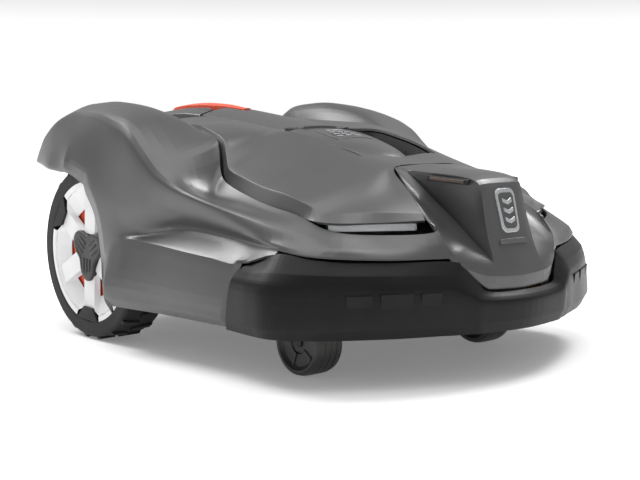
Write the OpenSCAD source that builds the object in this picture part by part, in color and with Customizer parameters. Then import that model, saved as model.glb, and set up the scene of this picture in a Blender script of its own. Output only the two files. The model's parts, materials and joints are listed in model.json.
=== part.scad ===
// Robotic lawn mower: floating cover on a wheeled chassis, with a hanging cutter.
// Origin at the bottom centre of the whole, front towards -Y, +Z up.

/* [Overall] */
// Length from the bumper to the fender tips
overall_length = 720; // [716:1:724]
// Width across the widest part of the side skirts
overall_width = 560; // [556:1:564]
// Wall thickness of the moulded covers
wall = 3; // [2.6:0.1:3.4]

/* [Rear wheels] */
// Outer diameter over the tread lugs
wheel_d = 229; // [226:1:230]
// Distance of the wheel axis behind the middle
wheel_y = 170; // [168:1:172]
// Distance of the wheels' outer faces from the middle plane
wheel_face_x = 251; // [249:1:252]
// Tyre width
tyre_w = 58; // [54:1:60]
// Rim diameter
rim_d = 179; // [175:1:182]
// Number of tread lugs
lug_count = 22; // [18:1:26]

/* [Casters] */
// Caster wheel diameter
caster_d = 76; // [74:1:77]
// Caster wheel width
caster_w = 40; // [36:1:42]
// Distance of the swivel axes from the middle plane
caster_x = 148; // [144:1:152]
// Distance of the swivel axes ahead of the middle
caster_y = 207; // [204:1:210]

/* [Cutter] */
// Diameter of the blade disc
disc_d = 220; // [200:2:230]
// Distance of the cutter axis behind the middle
cutter_y = 0; // [-10:1:10]

/* [Hidden] */

// The style lines are drawn for a cover 560 wide and 720 long
stretch = [overall_width / 560, overall_length / 720, 1];
wheel_r = wheel_d / 2;
axle_z = wheel_r;
lug_h = 3.3;
tread_r = wheel_r - lug_h;
rim_r = rim_d / 2;
caster_r = caster_d / 2;
run = 0.05; // running clearance of a shaft in its bore
$fn = 64;

grey = [0.42, 0.42, 0.43];
dark = [0.12, 0.12, 0.13];
orange = [0.85, 0.22, 0.1];
white = [0.85, 0.85, 0.84];
steel = [0.65, 0.66, 0.68];

// ---- Style lines of the cover, right-hand side ----
// Each key is [station, x, y, z]. Stations run from the fender tip (0) round the
// side and the front corner (17) to the headlight's inner end (19) and on to the
// middle of the nose (26).
gap_line = [
    [0, 170, 351, 232], [1, 162, 328, 243], [2, 155, 288, 256], [4, 149, 200, 270],
    [6, 147, 122, 276], [8, 152, 75, 276], [9, 157, 52, 274], [10, 163, 8, 265],
    [11, 170, -9, 246], [12, 180, -26, 221], [13, 190, -55, 210], [14, 200, -108, 199],
    [15, 203, -150, 191], [16, 199, -188, 184], [17, 187, -232, 168], [18, 143, -262, 163],
    [19, 97, -301, 166], [20, 92, -288, 180], [21, 82, -258, 198], [22, 70, -228, 216],
    [23, 57, -199, 231.5], [24, 49, -198, 233], [25, 25, -197, 234], [26, 0, -196, 234.5]
];
crest_line = [
    [0, 194, 355, 249], [1, 195, 337, 267], [2, 190, 304, 289], [3, 181, 271, 304],
    [4, 179, 236, 309], [5, 178, 198, 311], [6, 177, 158, 308], [7, 174, 122, 302],
    [8, 169, 87, 292], [9, 165, 52, 278], [10, 175, 5, 260], [11, 183, -10, 240],
    [12, 192, -26, 210], [13, 204, -44, 196], [14, 212, -100, 192], [15, 212, -148, 186],
    [16, 206, -196, 178], [17, 191, -238, 163], [18, 147, -267, 158], [19, 98, -306, 160],
    [20, 92, -299, 168], [21, 81, -276, 182], [22, 69, -247, 202], [23, 56, -217, 228],
    [24, 54, -219, 229.5], [25, 27, -219, 231.5], [26, 0, -219, 232.5]
];
ridge_line = [
    [0, 213, 358, 245], [1, 217, 337, 262], [2, 222, 292, 284], [3, 226, 240, 296],
    [4, 230, 200, 297], [5, 236, 160, 295], [6, 244, 120, 288], [7, 247, 90, 282],
    [8, 250, 66, 271], [9, 251, 44, 252], [10, 251, 18, 230], [11, 250, -2, 220],
    [12, 249, -22, 212], [13, 246, -50, 203], [14, 240, -95, 191], [15, 234, -142, 181],
    [16, 224, -196, 169], [17, 201, -245, 157], [18, 152, -275, 152], [19, 99, -311, 153],
    [20, 91, -308, 158], [21, 78, -294, 168], [22, 66, -275, 182], [23, 52, -255, 200],
    [24, 34, -311, 221], [25, 24, -312, 222.5], [26, 0, -312, 223]
];
side_line = [
    [0, 216, 359.5, 235], [1, 223, 335, 243], [2, 233, 290, 252], [4, 248, 202, 262],
    [6, 254, 122, 240], [8, 256, 62, 215], [10, 252, 14, 195], [12, 247, -24, 185],
    [14, 240, -98, 175], [15, 238, -146, 167], [16, 231, -202, 158], [17, 209, -251, 151],
    [18, 157, -282, 147], [19, 97, -315, 147], [20, 88, -316, 149], [21, 75, -309, 155],
    [22, 62, -300, 163], [23, 47, -290, 172], [24, 36, -318, 190], [25, 25, -320, 190],
    [26, 0, -321, 190]
];
lower_line = [
    [0, 218, 360, 225], [1, 229, 326, 222], [2, 242, 286, 219], [3, 253, 240, 217],
    [4, 260, 205, 215], [5, 262, 168, 205], [6, 261, 120, 192], [8, 257, 61, 175],
    [10, 248, 11, 172], [12, 240, -26, 171], [14, 236, -90, 166], [15, 236, -141, 160],
    [16, 236, -203, 153], [17, 216, -249, 147], [18, 159, -286, 143], [19, 95, -318, 142],
    [20, 85, -322, 142], [21, 74, -321, 145], [22, 59, -319, 147], [23, 43, -316, 149],
    [24, 38, -328, 155], [25, 26, -330, 155], [26, 0, -331, 155]
];
shelf_inner = [
    [0, 217, 359, 221], [4, 260, 203, 211], [5, 262, 140, 166], [6, 261, 103, 150],
    [7, 259, 76, 146], [8, 255, 56, 145.5], [9, 245, 38, 147.5], [10, 238, 12, 153],
    [11, 233, -12, 156.5], [12, 230, -37, 157.5], [14, 228, -92, 155],
    [15, 229, -143, 151.5], [16, 237, -202, 148], [17, 222, -247, 143],
    [18, 160, -289, 139], [19, 93, -320, 138.5], [20, 84, -325, 137], [21, 76, -328, 135.5],
    [22, 60, -333, 133], [23, 40, -338, 131], [24, 39, -338, 131], [25, 27, -339, 131],
    [26, 0, -341, 131]
];
shelf_outer = [
    [0, 217, 358, 217], [4, 260, 203, 206], [5, 262, 127, 112], [6, 262, 98, 130],
    [7, 261, 74, 139], [8, 260, 50, 142], [9, 260, 25, 141], [10, 259, -2, 139.5],
    [12, 258, -52, 136], [14, 255, -108, 132.5], [15, 250, -148, 129.5],
    [16, 240, -201, 144], [17, 222, -245, 138], [18, 160, -287, 134],
    [19, 91, -321.5, 134.5], [20, 82, -327, 131], [21, 75, -331, 126], [22, 63, -337, 121],
    [23, 52, -341, 118], [24, 42, -343, 117], [25, 27, -344.5, 116], [26, 0, -346, 115]
];
bevel_line = [
    [0, 217, 358, 213], [4, 260, 203, 200], [5, 273, 106, 73], [6, 280, 89, 72],
    [8, 276, 50, 70], [10, 269, -2, 69], [12, 267, -52, 69], [14, 264, -108, 69],
    [15, 261, -134, 69], [16, 238, -198, 130], [18, 158, -284, 124], [20, 76, -328, 121],
    [21, 69, -332, 115], [22, 60, -338, 108], [23, 52, -341, 102.5], [24, 42, -343, 101.5],
    [26, 0, -346, 100]
];
hem_line = [
    [0, 217, 358, 209], [4, 260, 203, 194], [5, 265, 102, 56], [6, 268, 86, 56],
    [8, 264, 50, 56], [10, 257, -2, 56], [12, 254, -52, 56], [14, 251, -108, 56],
    [15, 248, -134, 56], [16, 236, -196, 120], [18, 156, -282, 110], [21, 62, -326, 106],
    [23, 50, -336, 103], [26, 0, -340, 100]
];
// Bumper lines, from the side end (station 0) to the middle of the front (10)
bumper_top = [
    [0, 246, -152, 126.5], [1, 242, -180, 136], [2, 239, -209, 145.5],
    [3, 223, -244, 140.5], [4, 194, -267, 137.5], [5, 146, -295, 136], [6, 92, -323, 135.5],
    [7, 80, -330, 127], [8, 67, -338, 113], [9, 54, -343.5, 101], [10, 0, -348, 99]
];
bumper_bevel = [
    [0, 250, -149, 122], [1, 256, -184, 124], [2, 254, -215, 126.5], [3, 238, -247, 126],
    [4, 206, -274, 124.5], [5, 155, -303, 123], [6, 106, -327, 121.5], [7, 89, -335, 117],
    [8, 76, -342, 106], [9, 60, -348, 97], [10, 0, -355, 95]
];
bumper_face = [
    [0, 258, -144, 112], [1, 265, -184, 112], [2, 264, -216, 112], [3, 247, -246, 112],
    [4, 213, -275, 112], [5, 162, -307, 111], [6, 115, -330, 109], [7, 97, -339, 106],
    [8, 82, -346, 98], [9, 64, -352, 92], [10, 0, -360, 90]
];
bumper_low = [
    [0, 261, -139, 68], [1, 268, -186, 68], [2, 268, -219, 68], [3, 250, -249, 68],
    [4, 216, -278, 68], [5, 164, -309, 68], [6, 115, -331, 68], [7, 98, -339, 68],
    [8, 82, -345, 68], [9, 64, -351, 68], [10, 0, -359, 68]
];
bumper_hem = [
    [0, 260, -139, 56], [1, 264, -186, 56], [2, 263, -217, 56], [3, 246, -244, 56],
    [4, 212, -273, 56], [5, 161, -304, 56], [6, 113, -325, 56], [7, 96, -333, 56],
    [8, 80, -339, 56], [9, 62, -346, 56], [10, 0, -354, 56]
];
// Hood lines, from its rear edge (station 0) to the inner end of its front edge (12)
hood_foot = [
    [0, 145, 170, 270], [1, 145, 92, 273], [2, 154, 52, 270], [3, 160, 8, 260],
    [4, 167, -11, 241], [5, 177, -29, 218], [6, 187, -57, 207], [7, 197, -110, 196],
    [8, 200, -150, 188], [9, 196, -188, 181], [10, 189, -227, 177], [11, 146, -254, 176],
    [12, 95, -285, 178]
];
hood_crease = [
    [0, 141, 170, 281], [1, 141, 92, 281], [2, 151, 50, 278], [3, 158, 0, 264],
    [4, 167, -19, 246], [5, 178, -39, 228.5], [6, 184, -73, 220], [7, 190, -117, 211.5],
    [8, 192.5, -160, 205.5], [9, 190, -193, 196], [10, 177, -214, 186.5],
    [11, 140, -248, 187], [12, 91, -277, 185]
];
hood_deck = [
    [0, 104, 170, 287], [1, 104, 92, 283.5], [2, 106, 50, 281], [3, 112, 4, 272.5],
    [4, 126, -18, 260.5], [5, 130, -38, 251], [6, 130, -66, 245], [7, 131, -112, 235],
    [8, 129, -156, 225.5], [9, 127, -190, 217], [10, 119, -214, 209.5], [11, 97, -233, 205],
    [12, 81, -250, 204]
];
hood_inner = [
    [0, 57, 170, 290.5], [1, 57, 92, 283], [2, 57, 50, 278], [3, 58, 10, 274],
    [4, 79, -14, 274], [5, 83, -34, 272.5], [6, 80, -58, 268.5], [7, 75, -107, 257.5],
    [8, 66, -150, 245], [9, 62, -170, 239.5], [10, 59, -186, 235.5], [11, 58, -193, 233.5],
    [12, 57, -195.5, 232.5]
];
hood_middle = [
    [0, 0, 170, 292], [7, 0, -120, 262], [8, 0, -153, 241.5], [9, 0, -168, 239],
    [10, 0, -180, 237], [11, 0, -188, 235.8], [12, 0, -194, 234.7]
];
// Spine lines: [y, half width, height at the edge, extra height in the middle]
spine_front_line = [
    [0, 57, 272, 4.5], [-38, 54, 265.5, 5], [-77, 48, 256.5, 6],
    [-104, 41, 249.5, 7], [-127, 35, 241, 6], [-142, 29, 235.5, 3]
];
spine_rear_line = [
    [188, 57, 292, 11], [230, 59, 294, 11], [280, 60, 291, 11],
    [310, 60, 286, 12], [336, 57, 276, 13], [347, 52, 264, 12]
];
hatch_line = [
    [5, 55, 272.8, 4.7], [50, 55, 278, 6.2], [96, 55, 283.4, 7.9],
    [150, 55, 288.8, 10], [184, 55, 291.6, 11]
];

shell_last = 26;
hood_last = 12;
bumper_last = 10;
bumper_t = 9;
hatch_t = 3;
hinge_y = 4.2;
hinge_z = 273.5;
pin_r = 1.5;

// Levels and sizes inside
floor_z = 86; // underside of the chassis
rim_z = 122; // top of the chassis tub
lid_z = 150; // top of the chassis lid
panel_z = 258; // underside of the keypad panel
guard_z = 64;
guard_r = 134;
motor_r = 50;
shaft_r = 6;
rod_x = 68;
rod_r = 5;
rod_top = 200;
arm_z = 136;
screw_dy = 68;
screw_r = 5;
screw_top = 172;
bay_w = 180; // housing over the cutter motor
bay_l = 196;
bay_y = 30;
bay_z = 206;
panel_y = 84; // middle of the keypad panel
panel_l = 156;
disc_z = 64;
blade_r = 98;
blade_angles = [0, 120, 240];
wedge_angles = [33, 153, 273]; // where the tyre's wedges sit
axle_r = 8;
boss_r = 14;
caster_pin_r = 8;
caster_off = 26.5;
trail = 26;
// Keys: [x, y, radius]
key_places = [[-26, 30, 9], [0, 30, 9], [26, 30, 9]];

// ---- Helpers ----
function place(key) = [key[1] * stretch[0], key[2] * stretch[1], key[3]];
function span_of(line, s, i = 0) =
    (i >= len(line) - 2 || s <= line[i + 1][0]) ? i : span_of(line, s, i + 1);
function slope(line, i) =
    let (a = max(i - 1, 0), b = min(i + 1, len(line) - 1))
    (place(line[b]) - place(line[a])) / (line[b][0] - line[a][0]);
// Point of a style line at a station, on a smooth curve through its keys
function on_line(line, s) =
    let (
        i = span_of(line, s),
        h = line[i + 1][0] - line[i][0],
        u = (s - line[i][0]) / h,
        p = place(line[i]),
        q = place(line[i + 1])
    )
    p * (1 + 2 * u) * (1 - u) * (1 - u) + q * u * u * (3 - 2 * u)
    + slope(line, i) * h * u * (1 - u) * (1 - u)
    - slope(line, i + 1) * h * u * u * (1 - u);
function grid(lines, last) = [for (line = lines) [for (s = [0:last]) on_line(line, s)]];
function flip_x(p) = [-p[0], p[1], p[2]];
function full_width(rows) = [
    for (row = rows) concat(row, [for (j = [len(row) - 2:-1:0]) flip_x(row[j])])
];
function unit(v) = v / norm(v);
function normal_at(g, i, j) =
    let (
        down = g[min(i + 1, len(g) - 1)][j] - g[max(i - 1, 0)][j],
        along = g[i][min(j + 1, len(g[0]) - 1)] - g[i][max(j - 1, 0)]
    )
    unit(cross(along, down));
// Rows from the left edge over the middle to the right edge
function across(lines, middle, last) =
    let (half = grid(lines, last), n = len(lines) - 1)
    concat(
        [for (i = [n:-1:0]) [for (p = half[i]) flip_x(p)]],
        grid([middle], last),
        half
    );
// Crowned strip: one row of points for each part of its half width
function crowned(line, parts, drop) = [
    for (k = parts) [
        for (c = line)
            [k * c[1], c[0], c[2] + (abs(k) > 1 ? -drop : c[3] * (1 - k * k))]
    ]
];

// Closed moulding of a given thickness behind a grid of points. keep(i, j) says
// which cells are skin; the others are openings.
module moulding(g, thick, keep = function (i, j) true) {
    rows = len(g);
    cols = len(g[0]);
    count = rows * cols;
    has = function (i, j) i >= 0 && j >= 0 && i < rows - 1 && j < cols - 1 && keep(i, j);
    front = [for (i = [0:rows - 1]) for (j = [0:cols - 1]) g[i][j]];
    back = [
        for (i = [0:rows - 1]) for (j = [0:cols - 1]) g[i][j] - thick * normal_at(g, i, j)
    ];
    faces = [
        for (i = [0:rows - 2]) for (j = [0:cols - 2]) if (has(i, j))
            let (
                a = i * cols + j,
                b = a + cols,
                c = b + 1,
                d = a + 1,
                rim = function (p, q) [[q, p, p + count], [q, p + count, q + count]]
            )
            each concat(
                [[a, b, c], [a, c, d]],
                [[a + count, c + count, b + count], [a + count, d + count, c + count]],
                has(i, j - 1) ? [] : rim(a, b),
                has(i + 1, j) ? [] : rim(b, c),
                has(i, j + 1) ? [] : rim(c, d),
                has(i - 1, j) ? [] : rim(d, a)
            )
    ];
    polyhedron(points = concat(front, back), faces = faces, convexity = 10);
}
module both_sides() {
    children();
    mirror([1, 0, 0]) children();
}
// Lies along X: a cylinder from x0 to x1
module bar_x(r, x0, x1) {
    translate([x0, 0, 0]) rotate([0, 90, 0]) cylinder(r = r, h = x1 - x0);
}
module rounded_box(size, r) {
    linear_extrude(size[2])
        hull() for (sx = [-1, 1]) for (sy = [-1, 1])
            translate([sx * (size[0] / 2 - r), sy * (size[1] / 2 - r)]) circle(r, $fn = 32);
}

// ---- Cover ----
// Skin of the body: fender and side above the skirt, skirt between the wheel arch
// and the bumper, and the lip of the nose.
function body_keep(i, j) =
    let (s = j < shell_last ? j : 2 * shell_last - 1 - j)
    i <= 3 ? true
    : i == 4 ? s >= 5
    : i == 5 ? (s >= 5 && s <= 15) || s >= 19
    : i == 6 ? (s >= 5 && s <= 14) || s >= 20
    : s >= 5 && s <= 14;
module body_shell() {
    lines = [
        gap_line, crest_line, ridge_line, side_line, lower_line,
        shelf_inner, shelf_outer, bevel_line, hem_line
    ];
    color(grey)
        moulding(full_width(grid(lines, shell_last)), wall, function (i, j) body_keep(i, j));
}
// Painted wings either side of the spine, joined ahead of it
module hood() {
    rows = across([hood_inner, hood_deck, hood_crease, hood_foot], hood_middle, hood_last);
    inner_row = 3;
    color(grey)
        moulding(rows, wall,
            function (i, j) i < inner_row || i > inner_row + 1 || j >= 8);
}
module bumper() {
    lines = [bumper_top, bumper_bevel, bumper_face, bumper_low, bumper_hem];
    color(dark) moulding(full_width(grid(lines, bumper_last)), bumper_t);
}
// Plain plate on the nose
module nose_badge() {
    face = [for (z = [214, 190, 166]) [for (x = [18, 9, 0, -9, -18])
        [x, -317 - (214 - z) * 0.279, z]]];
    color(white) moulding(face, 2);
}
// Puts its children at the middle of a headlight slot, X along the slot
module at_headlight() {
    translate([145, -247, 165]) rotate([0, 0, 31]) children();
}
module headlight() {
    at_headlight() translate([-46, 0, 1.5])
        difference() {
            cube([92, 16, 8]);
            translate([2, -1, 1.5]) cube([88, 14, 5]);
        }
}
module headlight_left() { color(dark) headlight(); }
module headlight_right() { color(dark) mirror([1, 0, 0]) headlight(); }
module lens() { at_headlight() translate([-46, -3.2, 1.5]) cube([92, 3, 8]); }
module lens_left() { color(white) lens(); }
module lens_right() { color(white) mirror([1, 0, 0]) lens(); }
// Slim sensor bar along the top edge of the nose
module sonar() {
    hull() {
        translate([57, -248, 224]) sphere(3, $fn = 16);
        translate([43.5, -304, 220]) sphere(3, $fn = 16);
        translate([60, -249, 220]) sphere(2, $fn = 16);
        translate([46.5, -303, 216]) sphere(2, $fn = 16);
    }
}
module sonar_left() { color(dark) sonar(); }
module sonar_right() { color(dark) mirror([1, 0, 0]) sonar(); }
// Dark tray that forms the troughs either side of the spine's front
module channel_trim() {
    stations = [3.75, 4.5, 5, 6, 7, 7.6];
    edge = [for (s = stations) on_line(hood_inner, s) - [wall + 1, 0, 5]];
    foot = [for (p = edge) p - [6, 0, 20 - 4 * max(0, -p[1] - 90) / 60]];
    middle = [for (p = foot) [0, p[1], p[2]]];
    rows = concat(
        [[for (p = edge) flip_x(p)], [for (p = foot) flip_x(p)]],
        [middle, foot, edge]
    );
    color(dark) moulding(rows, 2);
}
module spine_front() {
    rows = crowned(spine_front_line, [-1.02, -0.98, -0.5, 0, 0.5, 0.98, 1.02], 9);
    color(grey) moulding(rows, 2.5);
    // hinge lugs, one each side, just behind the edge
    color(grey) both_sides()
        translate([0, hinge_y, hinge_z]) difference() {
            union() {
                bar_x(3.2, 50.5, 54);
                translate([50.5, -9, -3.2]) cube([3.5, 9, 3.2]);
            }
            bar_x(pin_r, 50, 55);
        }
}
module spine_rear() {
    rows = crowned(spine_rear_line, [1.02, 0.98, 0.6, 0, -0.6, -0.98, -1.02], 16);
    color(grey)
        moulding(rows, 2.5, function (i, j) !(i >= 2 && i <= 3 && j <= 3));
}
// Dark well that the stop button sits in, open behind it as a finger pull
module stop_recess() {
    color(dark) translate([0, 0, 276]) difference() {
        translate([-33, 192, 0]) cube([66, 132, 11]);
        translate([-31, 194, 2]) cube([62, 128, 10]);
    }
}
// Dark floor and tail between the fenders
module rear_deck() {
    line = [[174, 145, 262], [230, 149, 261], [285, 154, 250], [328, 159, 234],
        [349, 164, 205], [352, 164, 150], [350, 161, 128]];
    rows = [for (k = [1, 0.5, 0, -0.5, -1]) [for (c = line) [k * c[1], c[0], c[2]]]];
    color(dark) moulding(rows, wall);
}
module hatch_pin() {
    color(steel) translate([0, hinge_y, hinge_z]) bar_x(pin_r, -54, 54);
}
// Lid over the display; it turns on its rounded front edge
module display_hatch() {
    rows = crowned(hatch_line, [1, 0.6, 0.26, 0, -0.26, -0.6, -1], 0);
    color(grey) difference() {
        moulding(rows, hatch_t, function (i, j) !(i >= 2 && i <= 3 && j >= 3));
        translate([0, hinge_y, hinge_z]) both_sides() bar_x(3.8, 50.2, 57);
        translate([0, hinge_y, hinge_z]) bar_x(pin_r + 0.5, -57, 57);
    }
    color(grey) translate([0, hinge_y, hinge_z]) difference() {
        union() {
            bar_x(3, -50, 50);
            translate([-50, 0, -1]) cube([100, 6, 3.4]);
        }
        bar_x(pin_r + run, -51, 51);
    }
}
// Wedge-shaped emergency stop button, pushed down
module stop_button() {
    line = [[152, 5, 299, 1], [200, 14, 305, 2], [250, 23, 306, 3], [290, 28, 302, 3],
        [298, 28, 299, 2]];
    rows = crowned(line, [1, 0.5, 0, -0.5, -1], 0);
    color(orange) moulding(rows, 9);
}

// ---- Chassis ----
half_outline = [
    [0, -318], [70, -312], [120, -296], [190, -258], [226, -226], [236, -180],
    [236, 30], [184, 48], [184, 300], [150, 330], [0, 336]
];
function closed_outline(k) = concat(
    [for (p = half_outline) p * k],
    [for (i = [len(half_outline) - 2:-1:1]) [-half_outline[i][0], half_outline[i][1]] * k]
);
module caster_places() {
    for (sx = [-1, 1]) translate([sx * caster_x, -caster_y, 0]) children();
}
module chassis_base() {
    color(dark) difference() {
        union() {
            difference() {
                translate([0, 0, floor_z])
                    linear_extrude(rim_z - floor_z) polygon(closed_outline(1));
                translate([0, 0, floor_z + 4])
                    linear_extrude(rim_z) polygon(closed_outline(0.982));
            }
            translate([0, cutter_y, guard_z]) cylinder(r = guard_r, h = floor_z - guard_z);
            caster_places() translate([0, 0, floor_z]) cylinder(r = 15, h = 38);
        }
        translate([0, cutter_y, guard_z - 1]) cylinder(r = guard_r - 3, h = floor_z - guard_z + 1);
        translate([0, cutter_y, guard_z]) cylinder(r = motor_r + 4, h = 60);
        caster_places() translate([0, 0, guard_z]) cylinder(r = caster_pin_r + run, h = 80);
        translate([0, wheel_y, axle_z]) both_sides() bar_x(boss_r + 0.4, 170, 190);
        for (x = [-rod_x, rod_x]) translate([x, cutter_y, floor_z - 1]) cylinder(r = rod_r, h = 6);
    }
}
// Lid of the chassis, with the raised housing below the display hatch
module chassis_top() {
    color(dark) difference() {
        union() {
            translate([0, 0, rim_z + 0.3]) linear_extrude(lid_z - rim_z) polygon(closed_outline(0.88));
            translate([0, bay_y, lid_z]) rounded_box([bay_w, bay_l, bay_z - lid_z], 12);
            translate([0, panel_y, lid_z])
                rounded_box([104, panel_l + 6, panel_z - lid_z - 0.3], 12);
        }
        translate([0, 0, rim_z - 1]) linear_extrude(lid_z - rim_z - 2) polygon(closed_outline(0.86));
        translate([0, bay_y, rim_z]) rounded_box([bay_w - 8, bay_l - 8, bay_z - rim_z - 4], 9);
        translate([0, panel_y, rim_z]) rounded_box([96, panel_l - 2, panel_z - rim_z - 4], 9);
        translate([0, wheel_y, axle_z]) both_sides() bar_x(boss_r + 1, 150, 170);
        for (k = key_places) translate([k[0], k[1], panel_z - 6]) cylinder(r = k[2], h = 7);
    }
}
module battery_pack() {
    color([0.2, 0.2, 0.22]) for (sx = [-1, 1])
        translate([sx * 42, -190, floor_z + 4.2]) rounded_box([76, 128, 42], 8);
}
module main_board() {
    color([0.1, 0.35, 0.2]) translate([0, 120, floor_z + 12]) union() {
        translate([-70, -2, 0]) cube([140, 26, 2]);
        translate([-60, 3, 2]) cube([22, 16, 9]);
        translate([-20, 3, 2]) cube([30, 14, 5]);
        translate([30, 4, 2]) cylinder(r = 5, h = 14);
        translate([46, 8, 2]) cylinder(r = 5, h = 14);
    }
}
module gearmotor() {
    color([0.3, 0.3, 0.32]) translate([0, wheel_y, axle_z]) difference() {
        union() {
            bar_x(20, 42, 112);
            bar_x(23.5, 112, 154);
            bar_x(boss_r, 154, 191);
        }
        bar_x(axle_r + run, 118, 195);
    }
}
module gearmotor_left() { gearmotor(); }
module gearmotor_right() { mirror([1, 0, 0]) gearmotor(); }
module guide_rods() {
    color(steel) for (x = [-rod_x, rod_x])
        translate([x, cutter_y, floor_z + 0.2]) cylinder(r = rod_r, h = rod_top - floor_z);
}
module height_motor() {
    color([0.3, 0.3, 0.32]) translate([0, cutter_y + screw_dy, 0]) difference() {
        union() {
            translate([0, 0, screw_top - 14]) cylinder(r = 16, h = 30);
            translate([4 - bay_w / 2, -5, screw_top]) cube([bay_w - 8, 10, 3]);
        }
        translate([0, 0, screw_top - 15]) cylinder(r = screw_r + run, h = 15.5);
    }
}
// Two contact strips under the front edge of the chassis
module charge_contacts() {
    color([0.75, 0.6, 0.35]) both_sides()
        translate([44, -322.4, floor_z + 2]) rotate([0, 0, 5]) cube([22, 3, 12]);
}
module carry_handle() {
    color(dark) translate([0, 336.3, 92]) difference() {
        translate([-60, 0, 0]) cube([120, 10, 28]);
        translate([-48, -1, 7]) cube([96, 12, 14]);
    }
}
// Rubber bellows posts that carry the cover; each is [y, height]
module cover_mounts() {
    color(dark) for (sx = [-1, 1]) for (m = [[-150, 66], [250, 97]])
        translate([sx * 120, m[0], lid_z + 0.3])
            rotate_extrude() polygon([[0, 0], [14, 0], [14, 5], [9, 9], [12, 14], [9, 19],
                [12, 24], [6, 30], [6, m[1] - 6], [13, m[1] - 3], [13, m[1]], [0, m[1]]]);
}
module keypad_panel() {
    color([0.16, 0.16, 0.17]) translate([0, panel_y, panel_z]) difference() {
        rounded_box([100, panel_l, 5], 12);
        translate([-32, 18, 2]) cube([64, 46, 4]);
        for (k = key_places) translate([k[0], k[1] - panel_y, -1]) cylinder(r = k[2] + 0.4, h = 7);
    }
}
module display_glass() {
    color([0.05, 0.08, 0.1]) translate([-31.5, panel_y + 18.5, panel_z + 2.1]) cube([63, 45, 2]);
}
module chassis_screws() {
    color(steel) for (p = [[60, -290], [200, -120], [200, 20], [165, 280]]) for (sx = [-1, 1])
        translate([sx * p[0], p[1], floor_z - 2.6]) difference() {
            cylinder(r = 4, h = 2.5);
            translate([0, 0, -1]) cylinder(r = 2, h = 2.5, $fn = 6);
        }
}

// ---- Cutter ----
module height_screw() {
    color(steel) translate([0, cutter_y + screw_dy, floor_z + 5])
        cylinder(r = screw_r, h = screw_top - floor_z - 5);
}
module cutter_motor() {
    color([0.25, 0.25, 0.27]) translate([0, cutter_y, 0]) difference() {
        union() {
            translate([0, 0, disc_z + 6]) cylinder(r = motor_r, h = 92);
            translate([-rod_x - 11, -11, arm_z]) cube([2 * rod_x + 22, 22, 12]);
            translate([-12, 0, arm_z]) cube([24, screw_dy + 10, 12]);
            for (x = [-rod_x, rod_x]) translate([x, 0, arm_z]) cylinder(r = 11, h = 26);
        }
        for (x = [-rod_x, rod_x])
            translate([x, 0, arm_z - 1]) cylinder(r = rod_r + run, h = 30);
        translate([0, screw_dy, arm_z - 1]) cylinder(r = screw_r + run, h = 14);
        translate([0, 0, disc_z]) cylinder(r = shaft_r + run, h = 40);
    }
}
module blade_disc() {
    color([0.2, 0.2, 0.21]) translate([0, cutter_y, 0]) difference() {
        union() {
            translate([0, 0, disc_z]) cylinder(r = disc_d / 2, h = 3);
            translate([0, 0, disc_z]) cylinder(r = 30, h = 5);
            translate([0, 0, disc_z - 12]) cylinder(r = shaft_r, h = 50);
        }
        for (a = [0:60:300]) rotate(a + 30) translate([62, 0, disc_z - 1]) cylinder(r = 14, h = 8);
        for (a = blade_angles) rotate(a) translate([blade_r, 0, disc_z - 1]) cylinder(r = 2.5, h = 8);
    }
}
module blade_screws() {
    color(steel) translate([0, cutter_y, 0]) for (a = blade_angles) rotate(a)
        translate([blade_r, 0, 0]) union() {
            translate([0, 0, disc_z - 5]) cylinder(r = 4.6, h = 2);
            translate([0, 0, disc_z - 3.1]) cylinder(r = 2.5, h = 6.1);
        }
}
module skid_plate() {
    color([0.2, 0.2, 0.21]) translate([0, cutter_y, disc_z - 11.5]) difference() {
        union() {
            cylinder(r1 = 64, r2 = 70, h = 4);
            cylinder(r = 14, h = 7);
        }
        translate([0, 0, -1]) cylinder(r = shaft_r + run, h = 10);
    }
}
module blade(i) {
    color(steel) translate([0, cutter_y, 0]) rotate(blade_angles[i])
        translate([blade_r, 0, disc_z - 2.4]) difference() {
            translate([-6, -9, 0]) cube([30, 18, 0.9]);
            translate([0, 0, -1]) cylinder(r = 2.5 + run, h = 3);
        }
}
module blade_1() { blade(0); }
module blade_2() { blade(1); }
module blade_3() { blade(2); }

// ---- Wheels: built round X with the outer face at x = 0 ----
module at_wheel() { translate([wheel_face_x, wheel_y, axle_z]) children(); }
// Wedge that the tyre pushes into the rim, h deep
module rim_wedge(h, grow) {
    for (a = wedge_angles) rotate([a, 0, 0]) translate([-h, 0, 0]) rotate([90, 0, 90])
        linear_extrude(h) polygon([
            [rim_r + 3, -17 - grow], [rim_r + 3, 17 + grow], [rim_r - 4, 17 + grow],
            [66 - grow, 8 + grow], [66 - grow, -8 - grow], [rim_r - 4, -17 - grow]
        ]);
}
module tyre() {
    rotate([0, -90, 0]) rotate_extrude() polygon([
        [rim_r, 2], [tread_r - 9, 0], [tread_r - 2, 4], [tread_r, 10],
        [tread_r, tyre_w - 10], [tread_r - 2, tyre_w - 4], [tread_r - 9, tyre_w],
        [rim_r, tyre_w - 2]
    ]);
    for (i = [0:lug_count - 1]) rotate([i * 360 / lug_count, 0, 0]) {
        translate([-tyre_w / 2, -7, tread_r - 3]) cube([tyre_w / 2 - 3, 9, 3 + lug_h]);
        translate([-tyre_w + 3, 1, tread_r - 3]) cube([tyre_w / 2 - 3, 9, 3 + lug_h]);
    }
    rim_wedge(14, 0);
}
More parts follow.
